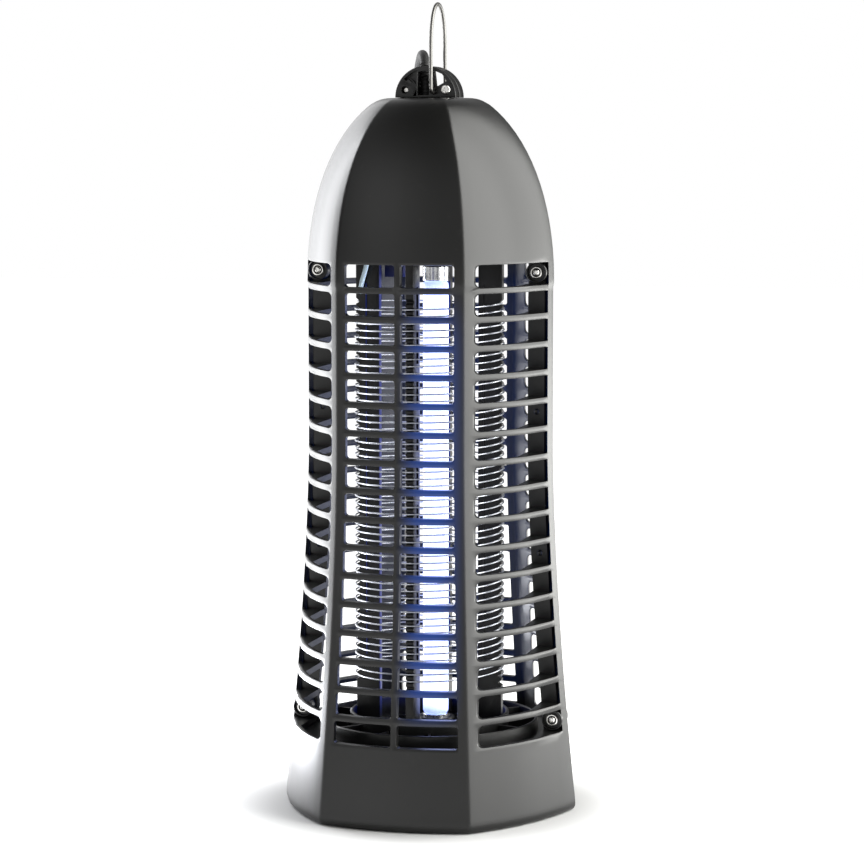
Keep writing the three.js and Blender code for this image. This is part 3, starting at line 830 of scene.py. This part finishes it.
class Skin:
    # grows one half shell: a grid outside, a grid inside, and the grille's openings through both
    def __init__(self, margin):
        self.verts = []
        self.faces = []
        self.margin = margin
        self.rows = {}
        self.deep = {}  # each opening's last loop on its way in, by row and first column

    def rowAt(self, z):
        key = round(z, 3)
        if key not in self.rows:
            self.rows[key] = rowCurves(z)
        return self.rows[key]

    def point(self, x, y, z):
        self.verts.append((x, y, z))
        return len(self.verts) - 1

    def line(self, row, inside=False):
        xs = columnXs(row, inside, self.margin)
        ids = []
        for i, x in enumerate(xs):
            end = i in (0, len(xs) - 1)
            y = -body["seam"] if end else alongRow(row, x, inside)
            ids.append(self.point(x, y, row["z"]))
        return ids

    def strip(self, first, second, skip=()):
        for i in range(len(first) - 1):
            if i not in skip:
                self.faces.append((first[i], first[i + 1], second[i + 1], second[i]))

    def climb(self, previous, rows, inside):
        # plain strips from one line to the next
        for row in rows:
            line = self.line(row, inside)
            if previous:
                self.strip(previous, line)
            previous = line
        return previous

    def bridge(self, *loops):
        for first, second in zip(loops, loops[1:]):
            for i in range(len(first)):
                j = (i + 1) % len(first)
                self.faces.append((first[i], first[j], second[j], second[i]))

    def opening(self, k, lines, first, side, kind, inside):
        # from the cell's rim over a rounded edge and through the wall; the inner grid meets it there
        z0 = body["sill"] + k * body["pitch"]
        z1 = z0 + body["openingHeight"]
        edge = body["edge"]
        steps = [(edge, 1.0)] if inside else [(edge, 0.0), (edge * 0.3, 0.035), (0.0, 0.12), (0.0, 0.9)]
        loops = [holeLoop(self, z0, z1, kind, side, grow, share) for grow, share in steps]
        if inside:
            loops.append(self.deep[(k, first)])
        else:
            self.deep[(k, first)] = loops[-1]
        self.bridge(cellBoundary(lines, first, side), *loops)


cellSteps = len(cellShares) - 1
barSteps = 9
cellStart = 2 * cellSteps + barSteps  # first column of the right front cell, just left of the middle
heightShares = (0.0, 0.16, 0.3, 0.7, 0.84, 1.0)


def cellRanges():
    # first column of each opening's cell, with the side it is on
    side = cellStart + cellSteps + barSteps
    return [(cellStart, 1, "front"), (side, 1, "side"), (cellStart - cellSteps, -1, "front"),
            (2 * cellStart - side - cellSteps, -1, "side")]


def holeLimits(row, kind, margin):
    size = row["size"]
    if kind == "front":
        return body["mullionHalf"], size / 2 - body["frontMargin"]
    return size / 2 + margin, rowWidth(row) - body["seamMargin"]


def holeLoop(skin, z0, z1, kind, side, grow, depthShare):
    # rounded rectangle round an opening, at a share of the way through the wall
    middle = rowCurves((z0 + z1) / 2)
    x0, x1 = holeLimits(middle, kind, skin.margin)
    if depthShare > 0.5:
        x1 = min(x1, rowWidth(middle, True) - 0.35)
    x0, x1, low, high = x0 - grow, x1 + grow, z0 - grow, z1 + grow
    near, far = body["holeRounds"][kind]
    corners = []
    for cornerX, cornerZ, toX, toZ, start, radius in (
            (x0, low, 1, 1, 180, near), (x1, low, -1, 1, 270, far),
            (x1, high, -1, -1, 0, far), (x0, high, 1, -1, 90, near)):
        radius += grow
        corners.append(arc(cornerX + toX * radius, cornerZ + toZ * radius, radius, start, start + 90, 4))
    loop = []
    for index, points in enumerate(corners):
        loop += points
        if index in (0, 2):  # three more points along the sill and the head
            (ax, az), (bx, bz) = points[-1], corners[index + 1][0]
            loop += [(ax + (bx - ax) * share, az + (bz - az) * share) for share in (0.25, 0.5, 0.75)]
    ids = []
    for x, z in loop:
        row = skin.rowAt(z)
        out = alongRow(row, min(x, rowWidth(row) - 0.01))
        inn = alongRow(row, min(x, rowWidth(row, True) - 0.01), True)
        ids.append(skin.point(side * x, out + (inn - out) * depthShare, z))
    return ids


def cellBoundary(lines, firstColumn, side):
    # the cell's rim on the skin, matching the order of holeLoop: from the inner lower corner round
    columns = list(range(firstColumn, firstColumn + cellSteps + 1))
    if side < 0:
        columns = columns[::-1]
    bottom = [lines[0][c] for c in columns]
    top = [lines[-1][c] for c in columns]
    right = [line[columns[-1]] for line in lines]
    left = [line[columns[0]] for line in lines]
    # corner arcs own two points of each neighbouring edge
    loop = [left[2], left[1], bottom[0], bottom[1], bottom[2]] + bottom[3:6]
    loop += [bottom[6], bottom[7], bottom[8], right[1], right[2]]
    loop += [right[3], right[4], top[8], top[7], top[6]] + top[3:6][::-1]
    loop += [top[2], top[1], top[0], left[4], left[3]]
    return loop


# height and inset of the lines round the foot, then the heights of plain lines
footRows = ((0.5, 2.9), (0.62, 2.3), (1.0, 1.6), (1.7, 0.95), (2.8, 0.4), (4.2, 0.1), (5.6, 0.0))
baseRows = (8, 12, 17, 22, 28, 34, 40, 45)
domeRows = (343, 347, 352, 358, 364, 371, 378, 385, 392, 399, 405, 411, 416.5, 421.5, 425.5,
            429, 431.6, 433.6)
# height and corner radius, from the dome's shoulder in to the lead's hole
capRows = ((434.9, 35.4), (435.9, 33.5), (436.7, 31.3), (437.2, 29.2), (437.5, 27.2), (437.6, 25.2),
           (437.6, 18.0), (437.6, 11.0), (437.6, 7.3))
capThickness = 2.6


def buildSkin(margin):
    skin = Skin(margin)
    skip = set()
    for first, side, kind in cellRanges():
        skip |= set(range(first, first + cellSteps))
    low = [rowCurves(z, inset) for z, inset in footRows] + [rowCurves(z) for z in baseRows]
    grille = []
    for k in range(body["rows"]):
        start = body["sill"] - (body["pitch"] - body["openingHeight"]) / 2 + k * body["pitch"]
        grille.append([rowCurves(start + body["pitch"] * share) for share in heightShares])
    dome = [rowCurves(z) for z in domeRows]
    for inside in (False, True):
        previous = skin.climb(None, low, inside)
        for k, rows in enumerate(grille):
            lines = [skin.line(row, inside) for row in rows]
            skin.strip(previous, lines[0])
            for a, b in zip(lines, lines[1:]):
                skin.strip(a, b, skip)
            for first, side, kind in cellRanges():
                skin.opening(k, lines, first, side, kind, inside)
            previous = lines[-1]
        previous = skin.climb(previous, dome, inside)
        cap = [rowCurves(z, 0.0, size) for z, size in capRows]
        for row in cap:
            row["z"] -= capThickness if inside else 0.0
        skin.climb(previous, cap, inside)
    return skin


def closeSkin(skin):
    # join the outer and inner grids along the rim, the cord hole and the seam
    work = bmesh.new()
    points = [work.verts.new(Vector(v)) for v in skin.verts]
    for face in skin.faces:
        if len(set(face)) == len(face):
            try:
                work.faces.new([points[i] for i in face])
            except ValueError:
                pass
    bmesh.ops.remove_doubles(work, verts=work.verts, dist=0.004)
    rims = [e for e in work.edges if e.is_boundary]
    bmesh.ops.bridge_loops(work, edges=rims)
    bmesh.ops.recalc_face_normals(work, faces=work.faces)
    verts = [tuple(v.co) for v in work.verts]
    work.verts.index_update()
    faces = [tuple(v.index for v in f.verts) for f in work.faces]
    left = sum(1 for e in work.edges if not e.is_manifold)
    work.free()
    print("shell skin:", len(faces), "faces,", left, "open edges")
    return verts, faces


def seamFurniture():
    # flanges along the seam, with the webs that carry each slat into them
    shapes = []
    low, high = body["webBottom"], body["webTop"]
    heights = [low + (high - low) * i / 24 for i in range(25)]
    for side in (-1, 1):
        outer = [(side * (cornerRadius(z) * planWidth - 0.9), z) for z in heights]
        inner = [(side * (cornerRadius(z) - body["flangeWidth"]), z) for z in reversed(heights)]
        shapes.append(prism(outer + inner, -2.15, -body["seam"], "XZ"))
        for k in range(body["rows"] + 1):
            z = body["sill"] + k * body["pitch"] - (body["pitch"] - body["openingHeight"])
            z0, z1 = max(z, low), min(z + 3.7, high)
            row = rowCurves((z0 + z1) / 2)
            start = row["size"] - body["flangeWidth"]
            end = rowWidth(row, True) - 0.4
            xs = [start + (end - start) * i / 6 for i in range(7)]
            plan = [(side * start, -1.0)] + [(side * x, alongRow(row, x, True) - 0.6) for x in xs]
            plan.append((side * end, -1.0))
            shapes.append(prism(plan, z0 + 0.05, z1 - 0.05))
    return joined(*shapes)


screws = {
    "upper": (69.3, 332.3), "lower": (80.2, 57.4), "headFace": 7.3,
    "headRadius": 2.0, "headHeight": 2.2, "collar": 3.65,
}


def bosses():
    shapes = []
    ring = [(0, 1.5), (6.5, 1.5), (6.5, 8.3), (6.2, 8.7), (5.6, 8.7), (5.3, 8.3), (5.2, 6.9), (2.2, 6.9),
            (2.0, 6.4), (0, 6.4)]
    for key in ("upper", "lower"):
        x, z = screws[key]
        for side in (-1, 1):
            shapes.append(moved(turned(ring, 32, "-Y"), (side * x, 0.0, z)))
    return joined(*shapes)


def dimples():
    # small round marks on the seam flanges
    shapes = []
    for side, z in ((-1, 247.0), (-1, 160.0), (1, 247.0), (1, 160.0)):
        ring = [(0, 2.0), (1.9, 2.0), (1.9, 2.5), (1.5, 2.7), (1.1, 2.4), (0, 2.3)]
        shapes.append(moved(turned(ring, 20, "-Y"), (side * (cornerRadius(z) - 9.5), 0.0, z)))
    return joined(*shapes)


def toRear(shape):
    return [(x, -y, z) for x, y, z in shape[0]], shape[1]


def addShells():
    shape = joined(closeSkin(buildSkin(body["sideMargin"])), seamFurniture(), bosses(), dimples())
    fitted(meshObject("frontShell", *shape, "casing", 38.0), "housing", "casing", "front_shell")
    rear = meshObject("rearShell", *toRear(closeSkin(buildSkin(body["rearSideMargin"]))), "plainCasing")
    cutAway(rear, meshObject("doorCut", *block(-36, 36, 60, 110, 5.0, 40.0), "plainCasing"))
    merge(rear, meshObject("rearExtra", *toRear(joined(seamFurniture(), bosses())), "plainCasing"))
    shaded(rear.data, 38)
    fitted(rear, "housing", "casing", "rear_shell")

addShells()
print("shells")


# ---- screws ----

def crossScrew(name, x, z, face, headRadius, headHeight, shank, reach, turn=0.0, collar=0.0):
    # face is the y of the head's underside; the head points to -Y
    profile = [(0, -reach), (shank - 0.3, -reach), (shank, 0.5 - reach), (shank, 0), (headRadius, 0),
               (headRadius, headHeight * 0.6), (headRadius * 0.95, headHeight * 0.78),
               (headRadius * 0.84, headHeight * 0.91), (headRadius * 0.6, headHeight), (0, headHeight)]
    head = meshObject(name, *moved(turned(profile, 36, "-Y"), (x, face, z)), "steel")
    arm = headRadius * 0.6
    cutters = []
    for angle in (turn, turn + 90):
        verts, faces = block(-arm, arm, -0.55, 0.55, 0, 1.5)
        a = math.radians(angle)
        verts = [(x + u * math.cos(a) - v * math.sin(a), face - headHeight + 1.1 - w,
                  z + u * math.sin(a) + v * math.cos(a)) for u, v, w in verts]
        cutters.append(meshObject("cross", verts, faces, "steel"))
    cutAway(head, *cutters)
    if collar:  # a loose ring round the head, with the dark boss showing between them
        bore = collar - 0.95
        ring = [(bore, 0), (collar, 0), (collar, headHeight * 0.6), (collar - 0.1, headHeight * 0.75),
                (collar - 0.4, headHeight * 0.82), (bore + 0.15, headHeight * 0.8),
                (bore, headHeight * 0.7), (bore, 0)]
        merge(head, meshObject("collar", *moved(turned(ring, 36, "-Y"), (x, face, z)), "steel"))
    shaded(head.data, 38)
    return head


def addCaseScrews():
    for key, turn in (("upper", 22.0), ("lower", 48.0)):
        x, z = screws[key]
        for label, side in (("left", -1), ("right", 1)):
            name = "caseScrew" + key.title() + label.title()
            screw = crossScrew(name, side * x, z, -screws["headFace"], screws["headRadius"],
                               screws["headHeight"], 1.7, 12.0, turn * side, screws["collar"])
            fitted(screw, "housing", "steel", f"case_screw_{key}_{label}")


addCaseScrews()


# ---- hanger bracket and bail ----

hanger = {
    "gap": 0.15, "radius": 19.1, "depth": 9.85, "base": 437.9, "screwX": 13.0, "screwRise": 4.6, "sunk": 5.0,
    "bailX": 5.3, "pivotZ": 441.0, "bailHalf": 16.5, "bailWire": 1.15, "bailStraight": 470.0, "bailTop": 494.5,
}

# openings in each half of the bracket, as x and the height over its base
windows = {
    "Front": [[(5.3, 5.5), (12.4, 9.4), (12.8, 11), (10.4, 14.1), (6.5, 15.8), (4.1, 16.0)],
              [(-5, 1.4), (2.2, 1.4), (2.2, 15.8), (0, 16.1), (-2.5, 15.9), (-5, 15.2)],
              [(-7.8, 0.9), (-5.8, 0.9), (-5.8, 4.6)]],
    "Rear": [[(-1.6, 6.6), (10.4, 6.6), (12.4, 8.6), (10.6, 12.6), (5.4, 16.1), (-1.6, 16.8)],
             [(-5, 1.4), (2.2, 1.4), (2.2, 5.4), (-5, 5.4)]],
}


def bracketOutlines(label):
    base = hanger["base"]
    holes = [[(x, base + z) for x, z in window] for window in windows[label]]
    return [arc(0, base, hanger["radius"], 0, 180, 40)] + holes


def rodCutter(radius, y0, y1, x, z, sides=24):
    verts, faces = turned([(0, 0), (radius, 0), (radius, y1 - y0), (0, y1 - y0)], sides, "-Y")
    return meshObject("bore", [(a + x, b + y1, c + z) for a, b, c in verts], faces, "plainCasing")


def fieldCutter(outline, high):
    # takes the front away down to y = high, inside an outline given over the bracket's base
    outline = [(x, hanger["base"] + z) for x, z in outline]
    return meshObject("field", *prism(outline, -20, high, "XZ"), "plainCasing")


def bracketRelief():
    # the sunk field round the left boss, with a thin arc left standing in it
    field = fieldCutter(arc(0, 0, 17.3, 107, 175, 16) + [(-16.6, 1.0), (-8.6, 1.0), (-6.2, 5)], -7.6)
    x, z = -hanger["screwX"], hanger["base"] + hanger["screwRise"]
    cutAway(field, rodCutter(5.0, -30, 0, x, z, 32))
    ring = cutAway(rodCutter(7.6, -30, 0, x, z, 40), rodCutter(6.8, -31, 1, x, z, 40))
    return cutAway(field, ring)

def addBracket():
    base, gap = hanger["base"], hanger["gap"]
    rise = base + hanger["screwRise"]
    sunkFace, outerFace = -gap - hanger["sunk"], -gap - hanger["depth"]
    for label, low, high in (("Front", outerFace, -gap), ("Rear", gap, gap + hanger["depth"])):
        piece = flatPiece("hangerBracket" + label, bracketOutlines(label), low, high, 0.3, "plainCasing")
        cutters = [rodCutter(hanger["bailWire"] + 0.4, low - 1, high + 1, hanger["bailX"], hanger["pivotZ"])]
        well = turned([(0, base - 1), (5.2, base - 1), (5.2, base + 30), (0, base + 30)], 32)
        cutters.append(meshObject("well", *moved(well, (lead["exit"][0], 0, 0)), "plainCasing"))
        for side in (-1, 1):
            cutters.append(rodCutter(1.6, -20, 8.4, side * hanger["screwX"], rise))
        if label == "Front":
            cutters.append(rodCutter(2.3, -20, sunkFace, -hanger["screwX"], rise))
            cutters.append(bracketRelief())
            cutters.append(fieldCutter([(-13.6, 11.2), (-12.2, 9.9), (-8.0, 13.2), (-8.9, 15.0)], -5.2))
            web = fieldCutter([(5.9, 2.2), (15.8, 2.2), (16.9, 5.4), (16.2, 8.2), (12.6, 10.6), (10.2, 7.6),
                               (6.2, 5.0)], -8.4)
            cutters.append(cutAway(web, rodCutter(4.4, -30, 0, hanger["screwX"], rise, 32)))
        else:
            verts, faces = block(-5.2, 5.2, 0, 24, base + 6, base + 30)
            notch = spun(verts, math.radians(lead["heading"])), faces
            cutters.append(meshObject("notch", *moved(notch, (lead["exit"][0], 0, 0)), "plainCasing"))
        cutAway(piece, *cutters)
        shaded(piece.data, 30)
        fitted(piece, "housing", "casing", "hanger_bracket_" + label.lower())
    for label, side, face, headRadius in (("left", -1, sunkFace, 1.9), ("right", 1, outerFace, 2.9)):
        screw = crossScrew("bracketScrew" + label.title(), side * hanger["screwX"], rise, face - 0.3,
                           headRadius, 1.5, 1.2, 6.5 - face, 20.0)
        fitted(screw, "housing", "steel", "bracket_screw_" + label)


def addBail():
    x, z = hanger["bailX"], hanger["pivotZ"]
    out, straight = hanger["bailHalf"], hanger["bailStraight"]
    foot = ((6.5, 0), (10, 0), (13.6, 0.1), (15.4, 0.7), (16.3, 2.1), (16.5, 4.2))
    half = [(x, -y, z + up) for y, up in foot] + [(x, -out, 456)]
    rise = hanger["bailTop"] - straight
    for i in range(13):
        angle = math.pi / 2 * i / 12
        half.append((x, -out * math.cos(angle), straight + rise * math.sin(angle)))
    points = half + [(a, -b, c) for a, b, c in reversed(half[:-1])]
    bail = rodMesh("wireBail", curvePoints(points, 0.8), hanger["bailWire"], "bail", 4)
    fitted(bail, "bail", "steel", "bail")


addBracket()
addBail()
print("hanger")


# ---- electrode cage ----

cage = {
    "radius": 46.0, "wire": 0.5, "pitch": 8.55, "turns": 27, "start": 82.0, "steps": 40,
    "postInner": 31.5, "valley": 44.6, "peak": 46.6, "thick": 5.0, "low": 46.7, "high": 341.5,
}


def postOutline(phase):
    rowPitch = cage["pitch"] / 2
    first = cage["start"] - rowPitch + phase
    count = round(cage["turns"] * cage["pitch"] / rowPitch) + 2
    points = [(cage["postInner"], cage["low"]), (cage["peak"], cage["low"])]
    for i in range(count):
        z = first + i * rowPitch
        points += [(cage["peak"], z - rowPitch * 0.68), (cage["peak"], z - rowPitch * 0.36)]
        points += [(cage["valley"] + 0.35, z - 0.62), (cage["valley"], z - 0.25), (cage["valley"], z + 0.25),
                   (cage["valley"] + 0.35, z + 0.62)]
    points += [(cage["peak"], first + (count - 0.5) * rowPitch), (cage["peak"], cage["high"]),
               (cage["postInner"], cage["high"])]
    return points


def addPosts():
    for i, label in enumerate(("front", "right", "rear", "left")):
        outline = postOutline(cage["pitch"] / 4 if i % 2 == 0 else 0.0)
        half = cage["thick"] / 2
        post = flatPiece("cagePost" + label.title(), [outline], -half, half, 0.3, "inner")
        # lengthwise slots lighten the post between its notched edge and its back
        cutters = []
        for k in range(9):
            z = 92 + k * 26.5
            for low, high in ((-half - 1, -half + 1.2), (half - 1.2, half + 1)):
                cutters.append(meshObject("slot", *block(34.8, 40.2, low, high, z, z + 20), "inner"))
        cutAway(post, *cutters)
        post.data.transform(Matrix.Rotation(math.pi / 2 * i - math.pi / 2, 4, "Z"))
        shaded(post.data, 35)
        fitted(post, "housing", "inner_plastic", "cage_post_" + label)


def addWires():
    for label, start in (("A", -90.0), ("B", 90.0)):
        points = []
        count = cage["turns"] * cage["steps"]
        for i in range(count + 1):
            turn = cage["turns"] * i / count
            angle = math.radians(start) + 2 * math.pi * turn
            # the wire sags a little between posts
            slack = 0.35 * math.sin(2 * angle) ** 2
            radius = cage["radius"] - slack * 0.6
            points.append((radius * math.sin(angle), -radius * math.cos(angle),
                           cage["start"] + cage["pitch"] * turn - slack * 0.5))
        wire = rodMesh("electrodeWire" + label, points, cage["wire"], "wire", 2)
        fitted(wire, "housing", "electrode", "electrode_wire_" + label.lower())


def addSleeves():
    route = [(37.5, 7, 350), (37.5, 7, 343), (38.6, 6.8, 335), (41.4, 5.8, 326), (43.6, 4.8, 318)]
    for label, side in (("A", -1), ("B", 1)):
        points = curvePoints([(side * x, side * y, z) for x, y, z in route], 1.2)
        sleeve = rodMesh("highVoltageLead" + label, points, 1.5, "sleeve", 3)
        fitted(sleeve, "housing", "lead_sleeve", "high_voltage_lead_" + label.lower())


addPosts()
addWires()
addSleeves()
print("cage")


# ---- lamp ----

lamp = {"x": 4.0, "low": 56.8, "high": 325.8, "radius": 7.9, "capRadius": 8.0, "capLength": 9.5, "gap": 0.3}
decks = {"top": 46.4, "thick": 2.6, "lampHole": 12.4, "rings": ((49.4, 2.0, 58.5), (67.6, 1.8, 55.0))}


def addDeck():
    top, bottom = decks["top"], decks["top"] - decks["thick"]
    size = cornerRadius(top) - 2.2 / math.cos(math.pi / 6) - 0.8
    rim = [(x * size, y * size) for x, y in zip(planX[::25], planY[::25])]
    outline = rim + [(x, -y) for x, y in reversed(rim[1:-1])]
    deck = meshObject("lowerDeck", *prism(outline, bottom, top), "inner")
    bore = turned([(0, 30), (decks["lampHole"], 30), (decks["lampHole"], 60), (0, 60)], 40)
    cutters = [meshObject("hole", *moved(bore, (lamp["x"], 0, 0)), "inner")]
    for i in range(4):
        sector = spun(arc(0, 0, 20, 23, 67, 8) + arc(0, 0, 44, 77, 13, 14), math.pi / 2 * i)
        cutters.append(meshObject("sector", *prism(sector, 30, 60), "inner"))
    cutAway(deck, *cutters)
    rings = []
    for radius, thick, ringTop in decks["rings"]:
        inside = radius - thick
        profile = [(inside, top - 1), (radius, top - 1), (radius, ringTop - 0.5), (radius - 0.5, ringTop),
                   (inside + 0.5, ringTop), (inside, ringTop - 0.5), (inside, top - 1)]
        rings.append(turned(profile, 96))
    # short ribs stand between the two rings
    verts, faces = block(49.0, 66.2, -0.8, 0.8, top - 1, 53.5)
    rings += [(spun(verts, math.radians(15 + 30 * i)), faces) for i in range(12)]
    merge(deck, *[meshObject("ring", *shape, "inner") for shape in rings])
    shaded(deck.data, 35)
    fitted(deck, "housing", "inner_plastic", "lower_deck")


def addLamp():
    low, high, radius = lamp["low"], lamp["high"], lamp["radius"]
    profile = [(0, low), (6.6, low), (7.4, low + 0.6), (radius, low + 1.8), (radius, (low + high) / 2),
               (radius, high - 1.8), (7.4, high - 0.6), (6.6, high), (0, high)]
    tube = meshObject("lampTube", *moved(turned(profile, 48), (lamp["x"], 0, 0)), "glass", 60.0)
    fitted(tube, "housing", "lamp_glass", "lamp_tube")
    gap, r, end = lamp["gap"], lamp["capRadius"], lamp["capLength"]
    for label, face, up, pinEnd in (("lower", low - gap, -1, 6.0), ("upper", high + gap, 1, 5.0)):
        cap = [(0, 0), (r - 0.25, 0), (r, 0.25), (r, 8.6), (r - 0.6, 9.3), (r - 1.4, end), (5.6, end),
               (5.4, 9.1), (0, 9.1)]
        shapes = [turned(cap, 40)]
        for side in (-1, 1):
            pin = [(0, 9), (1.1, 9), (1.1, end + pinEnd - 0.5), (0.8, end + pinEnd), (0, end + pinEnd)]
            shapes.append(moved(turned(pin, 16), (side * 2.1, 0, 0)))
        verts, faces = joined(*shapes)
        verts = [(x + lamp["x"], y, face + up * z) for x, y, z in verts]
        piece = meshObject("lampCap" + label.title(), verts, faces, "aluminium")
        fitted(piece, "housing", "aluminium", "lamp_cap_" + label)


def addHolders():
    x, reach = lamp["x"], lamp["capLength"] + 2 * lamp["gap"]
    floor, face = lamp["low"] - reach, lamp["high"] + reach
    cup = [(0, 39.4), (11.6, 39.4), (12, 39.8), (12, 40.3), (14.6, 40.3), (15, 40.7), (15, 43.0),
           (14.6, 43.4), (12, 43.4), (12, floor + 7.2), (11.2, floor + 8.1), (9.2, floor + 8.2),
           (8.5, floor + 7.5), (8.5, floor), (0, floor)]

    def pinSlot(low, high):
        return meshObject("slot", *block(x - 4.2, x + 4.2, -1.9, 1.9, low, high), "inner")

    lower = meshObject("lampHolderLower", *moved(turned(cup, 40), (x, 0, 0)), "inner")
    cutAway(lower, pinSlot(floor - 6.6, floor + 1))
    shaded(lower.data, 38)
    fitted(lower, "housing", "inner_plastic", "lamp_holder_lower")
    upper = meshObject("lampHolderUpper", *block(x - 13, x + 13, -9, 9, face, 341.5), "inner")
    cutAway(upper, pinSlot(face - 1, 346))
    rounded(upper, 0.6, 2)
    fitted(upper, "housing", "inner_plastic", "lamp_holder_upper")


addDeck()
addLamp()
addHolders()
print("lamp")


# ---- CAD parts that stay as they are ----

keptFinishes = {
    "upper_deck": "inner", "lamp_starter": "inner", "circuit_board": "board", "ballast_choke": "iron",
    "step_up_transformer": "iron", "capacitor_a": "capacitor", "capacitor_b": "capacitor",
    "base_plate": "plainCasing", "foot_front_left": "rubber", "foot_front_right": "rubber",
    "foot_rear_left": "rubber", "foot_rear_right": "rubber", "collecting_tray": "plainCasing",
}


def dressKept():
    for node, finish in keptFinishes.items():
        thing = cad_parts[node]
        for slot in thing.material_slots:
            slot.material = finishes[finish]


dressKept()


# ---- floor and light ----

studio = {
    "floor": 0.44,
    "floorGlow": 0.88,
    # (height of the direction looked in, radiance)
    "sky": ((0.0, 0.62), (0.10, 0.70), (0.30, 1.0), (0.55, 0.95), (0.80, 0.35), (0.97, 0.10)),
    # (place from left to right, share of the sky's radiance)
    "across": ((0.0, 0.15), (0.12, 0.45), (0.22, 1.25), (0.35, 1.15), (0.50, 0.62), (0.60, 0.45), (1.0, 0.6)),
    "backCard": (172.0, 0.80, 0.93, 0.12),  # azimuth, where its edge starts and ends, share left
    # name: (azimuth round from the front, distance, width, bottom, top, radiance, colour)
    "panels": {
        "rightFront": (80.0, 1.2, 0.92, 0.0, 3.4, 5.8, (1.0, 1.0, 0.97)),
        "rightBack": (120.0, 1.2, 0.88, 0.0, 3.4, 3.7, (1.0, 1.0, 0.97)),
        "rightLow": (122.0, 1.15, 0.95, 0.0, 0.2, 5.0, (1.0, 1.0, 0.97)),
        "leftFront": (-107.0, 0.36, 0.11, 0.0, 0.62, 7.0, (0.97, 0.98, 1.0)),
        "leftMiddle": (-124.0, 0.36, 0.11, 0.0, 0.62, 2.3, (0.97, 0.98, 1.0)),
        "leftBack": (-141.0, 0.36, 0.11, 0.0, 0.62, 0.8, (0.97, 0.98, 1.0)),
        "leftLowFront": (-112.0, 0.33, 0.20, 0.0, 0.05, 17.0, (0.92, 0.94, 1.0)),
        "leftLowBack": (-142.0, 0.33, 0.16, 0.0, 0.05, 6.0, (0.92, 0.94, 1.0)),
    },
}


def addFloor():
    size = 6.0
    mesh = bpy.data.meshes.new("floor")
    corners = [(-size, -size, 0), (size, -size, 0), (size, size, 0), (-size, size, 0)]
    mesh.from_pydata(corners, [], [(0, 1, 2, 3)])
    s = Shader("paleFloor")
    x, y, z = s.axes()
    # painted shadow: the floor's emission is left out near the middle and comes in between 0.084 and 0.15 m
    # out, a painted contact shadow round the base
    far = ((x * x + y * y) ** 0.5).smooth(0.084, 0.15)
    pale = studio["floor"]
    mesh.materials.append(s.finish({
        "Base Color": s.blend(s.noise(2.0, 2.0), grey(pale), grey(pale * 1.02)), "Roughness": 0.9,
        "Emission Color": s.blend(far, grey(0.0), grey(1.0)), "Emission Strength": studio["floorGlow"]}))
    placed("floor", mesh)


def addPanels():
    for name, (azimuth, distance, width, bottom, top, radiance, colour) in studio["panels"].items():
        data = bpy.data.lights.new(name, "AREA")
        data.shape = "RECTANGLE"
        data.size = width
        data.size_y = top - bottom
        data.energy = 4 * width * (top - bottom) * radiance
        data.color = colour
        holder = placed(name, data)
        turn = math.radians(azimuth)
        back = Vector((math.sin(turn), -math.cos(turn), 0))
        holder.location = back * distance + Vector((0, 0, (bottom + top) / 2))
        holder.rotation_euler = back.to_track_quat("Z", "Y").to_euler()
        holder.visible_camera = False


def addWorld():
    # soft boxes round the room, a dark ceiling and a dark card behind; seen straight, its walls are white
    s = Shader("studio", "worlds", "Generated")
    x, y, z = s.axes()
    azimuth, start, end, left = studio["backCard"]
    turn = math.radians(azimuth)
    facing = s.vector("DOT_PRODUCT", s.place, (math.sin(turn), -math.cos(turn), 0), "Value")
    light = z.stops(studio["sky"]) * x.ramp(0.0, 1.0, -1.0, 1.0).stops(studio["across"])
    lit = s.node("ShaderNodeBackground", {}, {0: light * facing.smooth(start, end, 1.0, left)})
    walls = s.node("ShaderNodeBackground", {}, {0: grey(1.0)})
    seen = s.node("ShaderNodeLightPath", {}, {}, "Is Camera Ray")
    choice = s.node("ShaderNodeMixShader", {}, {0: seen, 1: lit, 2: walls})
    s.node("ShaderNodeOutputWorld", {}, {0: choice})
    bpy.context.scene.world = s.owner
    bpy.context.scene.view_settings.view_transform = "Standard"


addFloor()
addPanels()
addWorld()
print("studio")
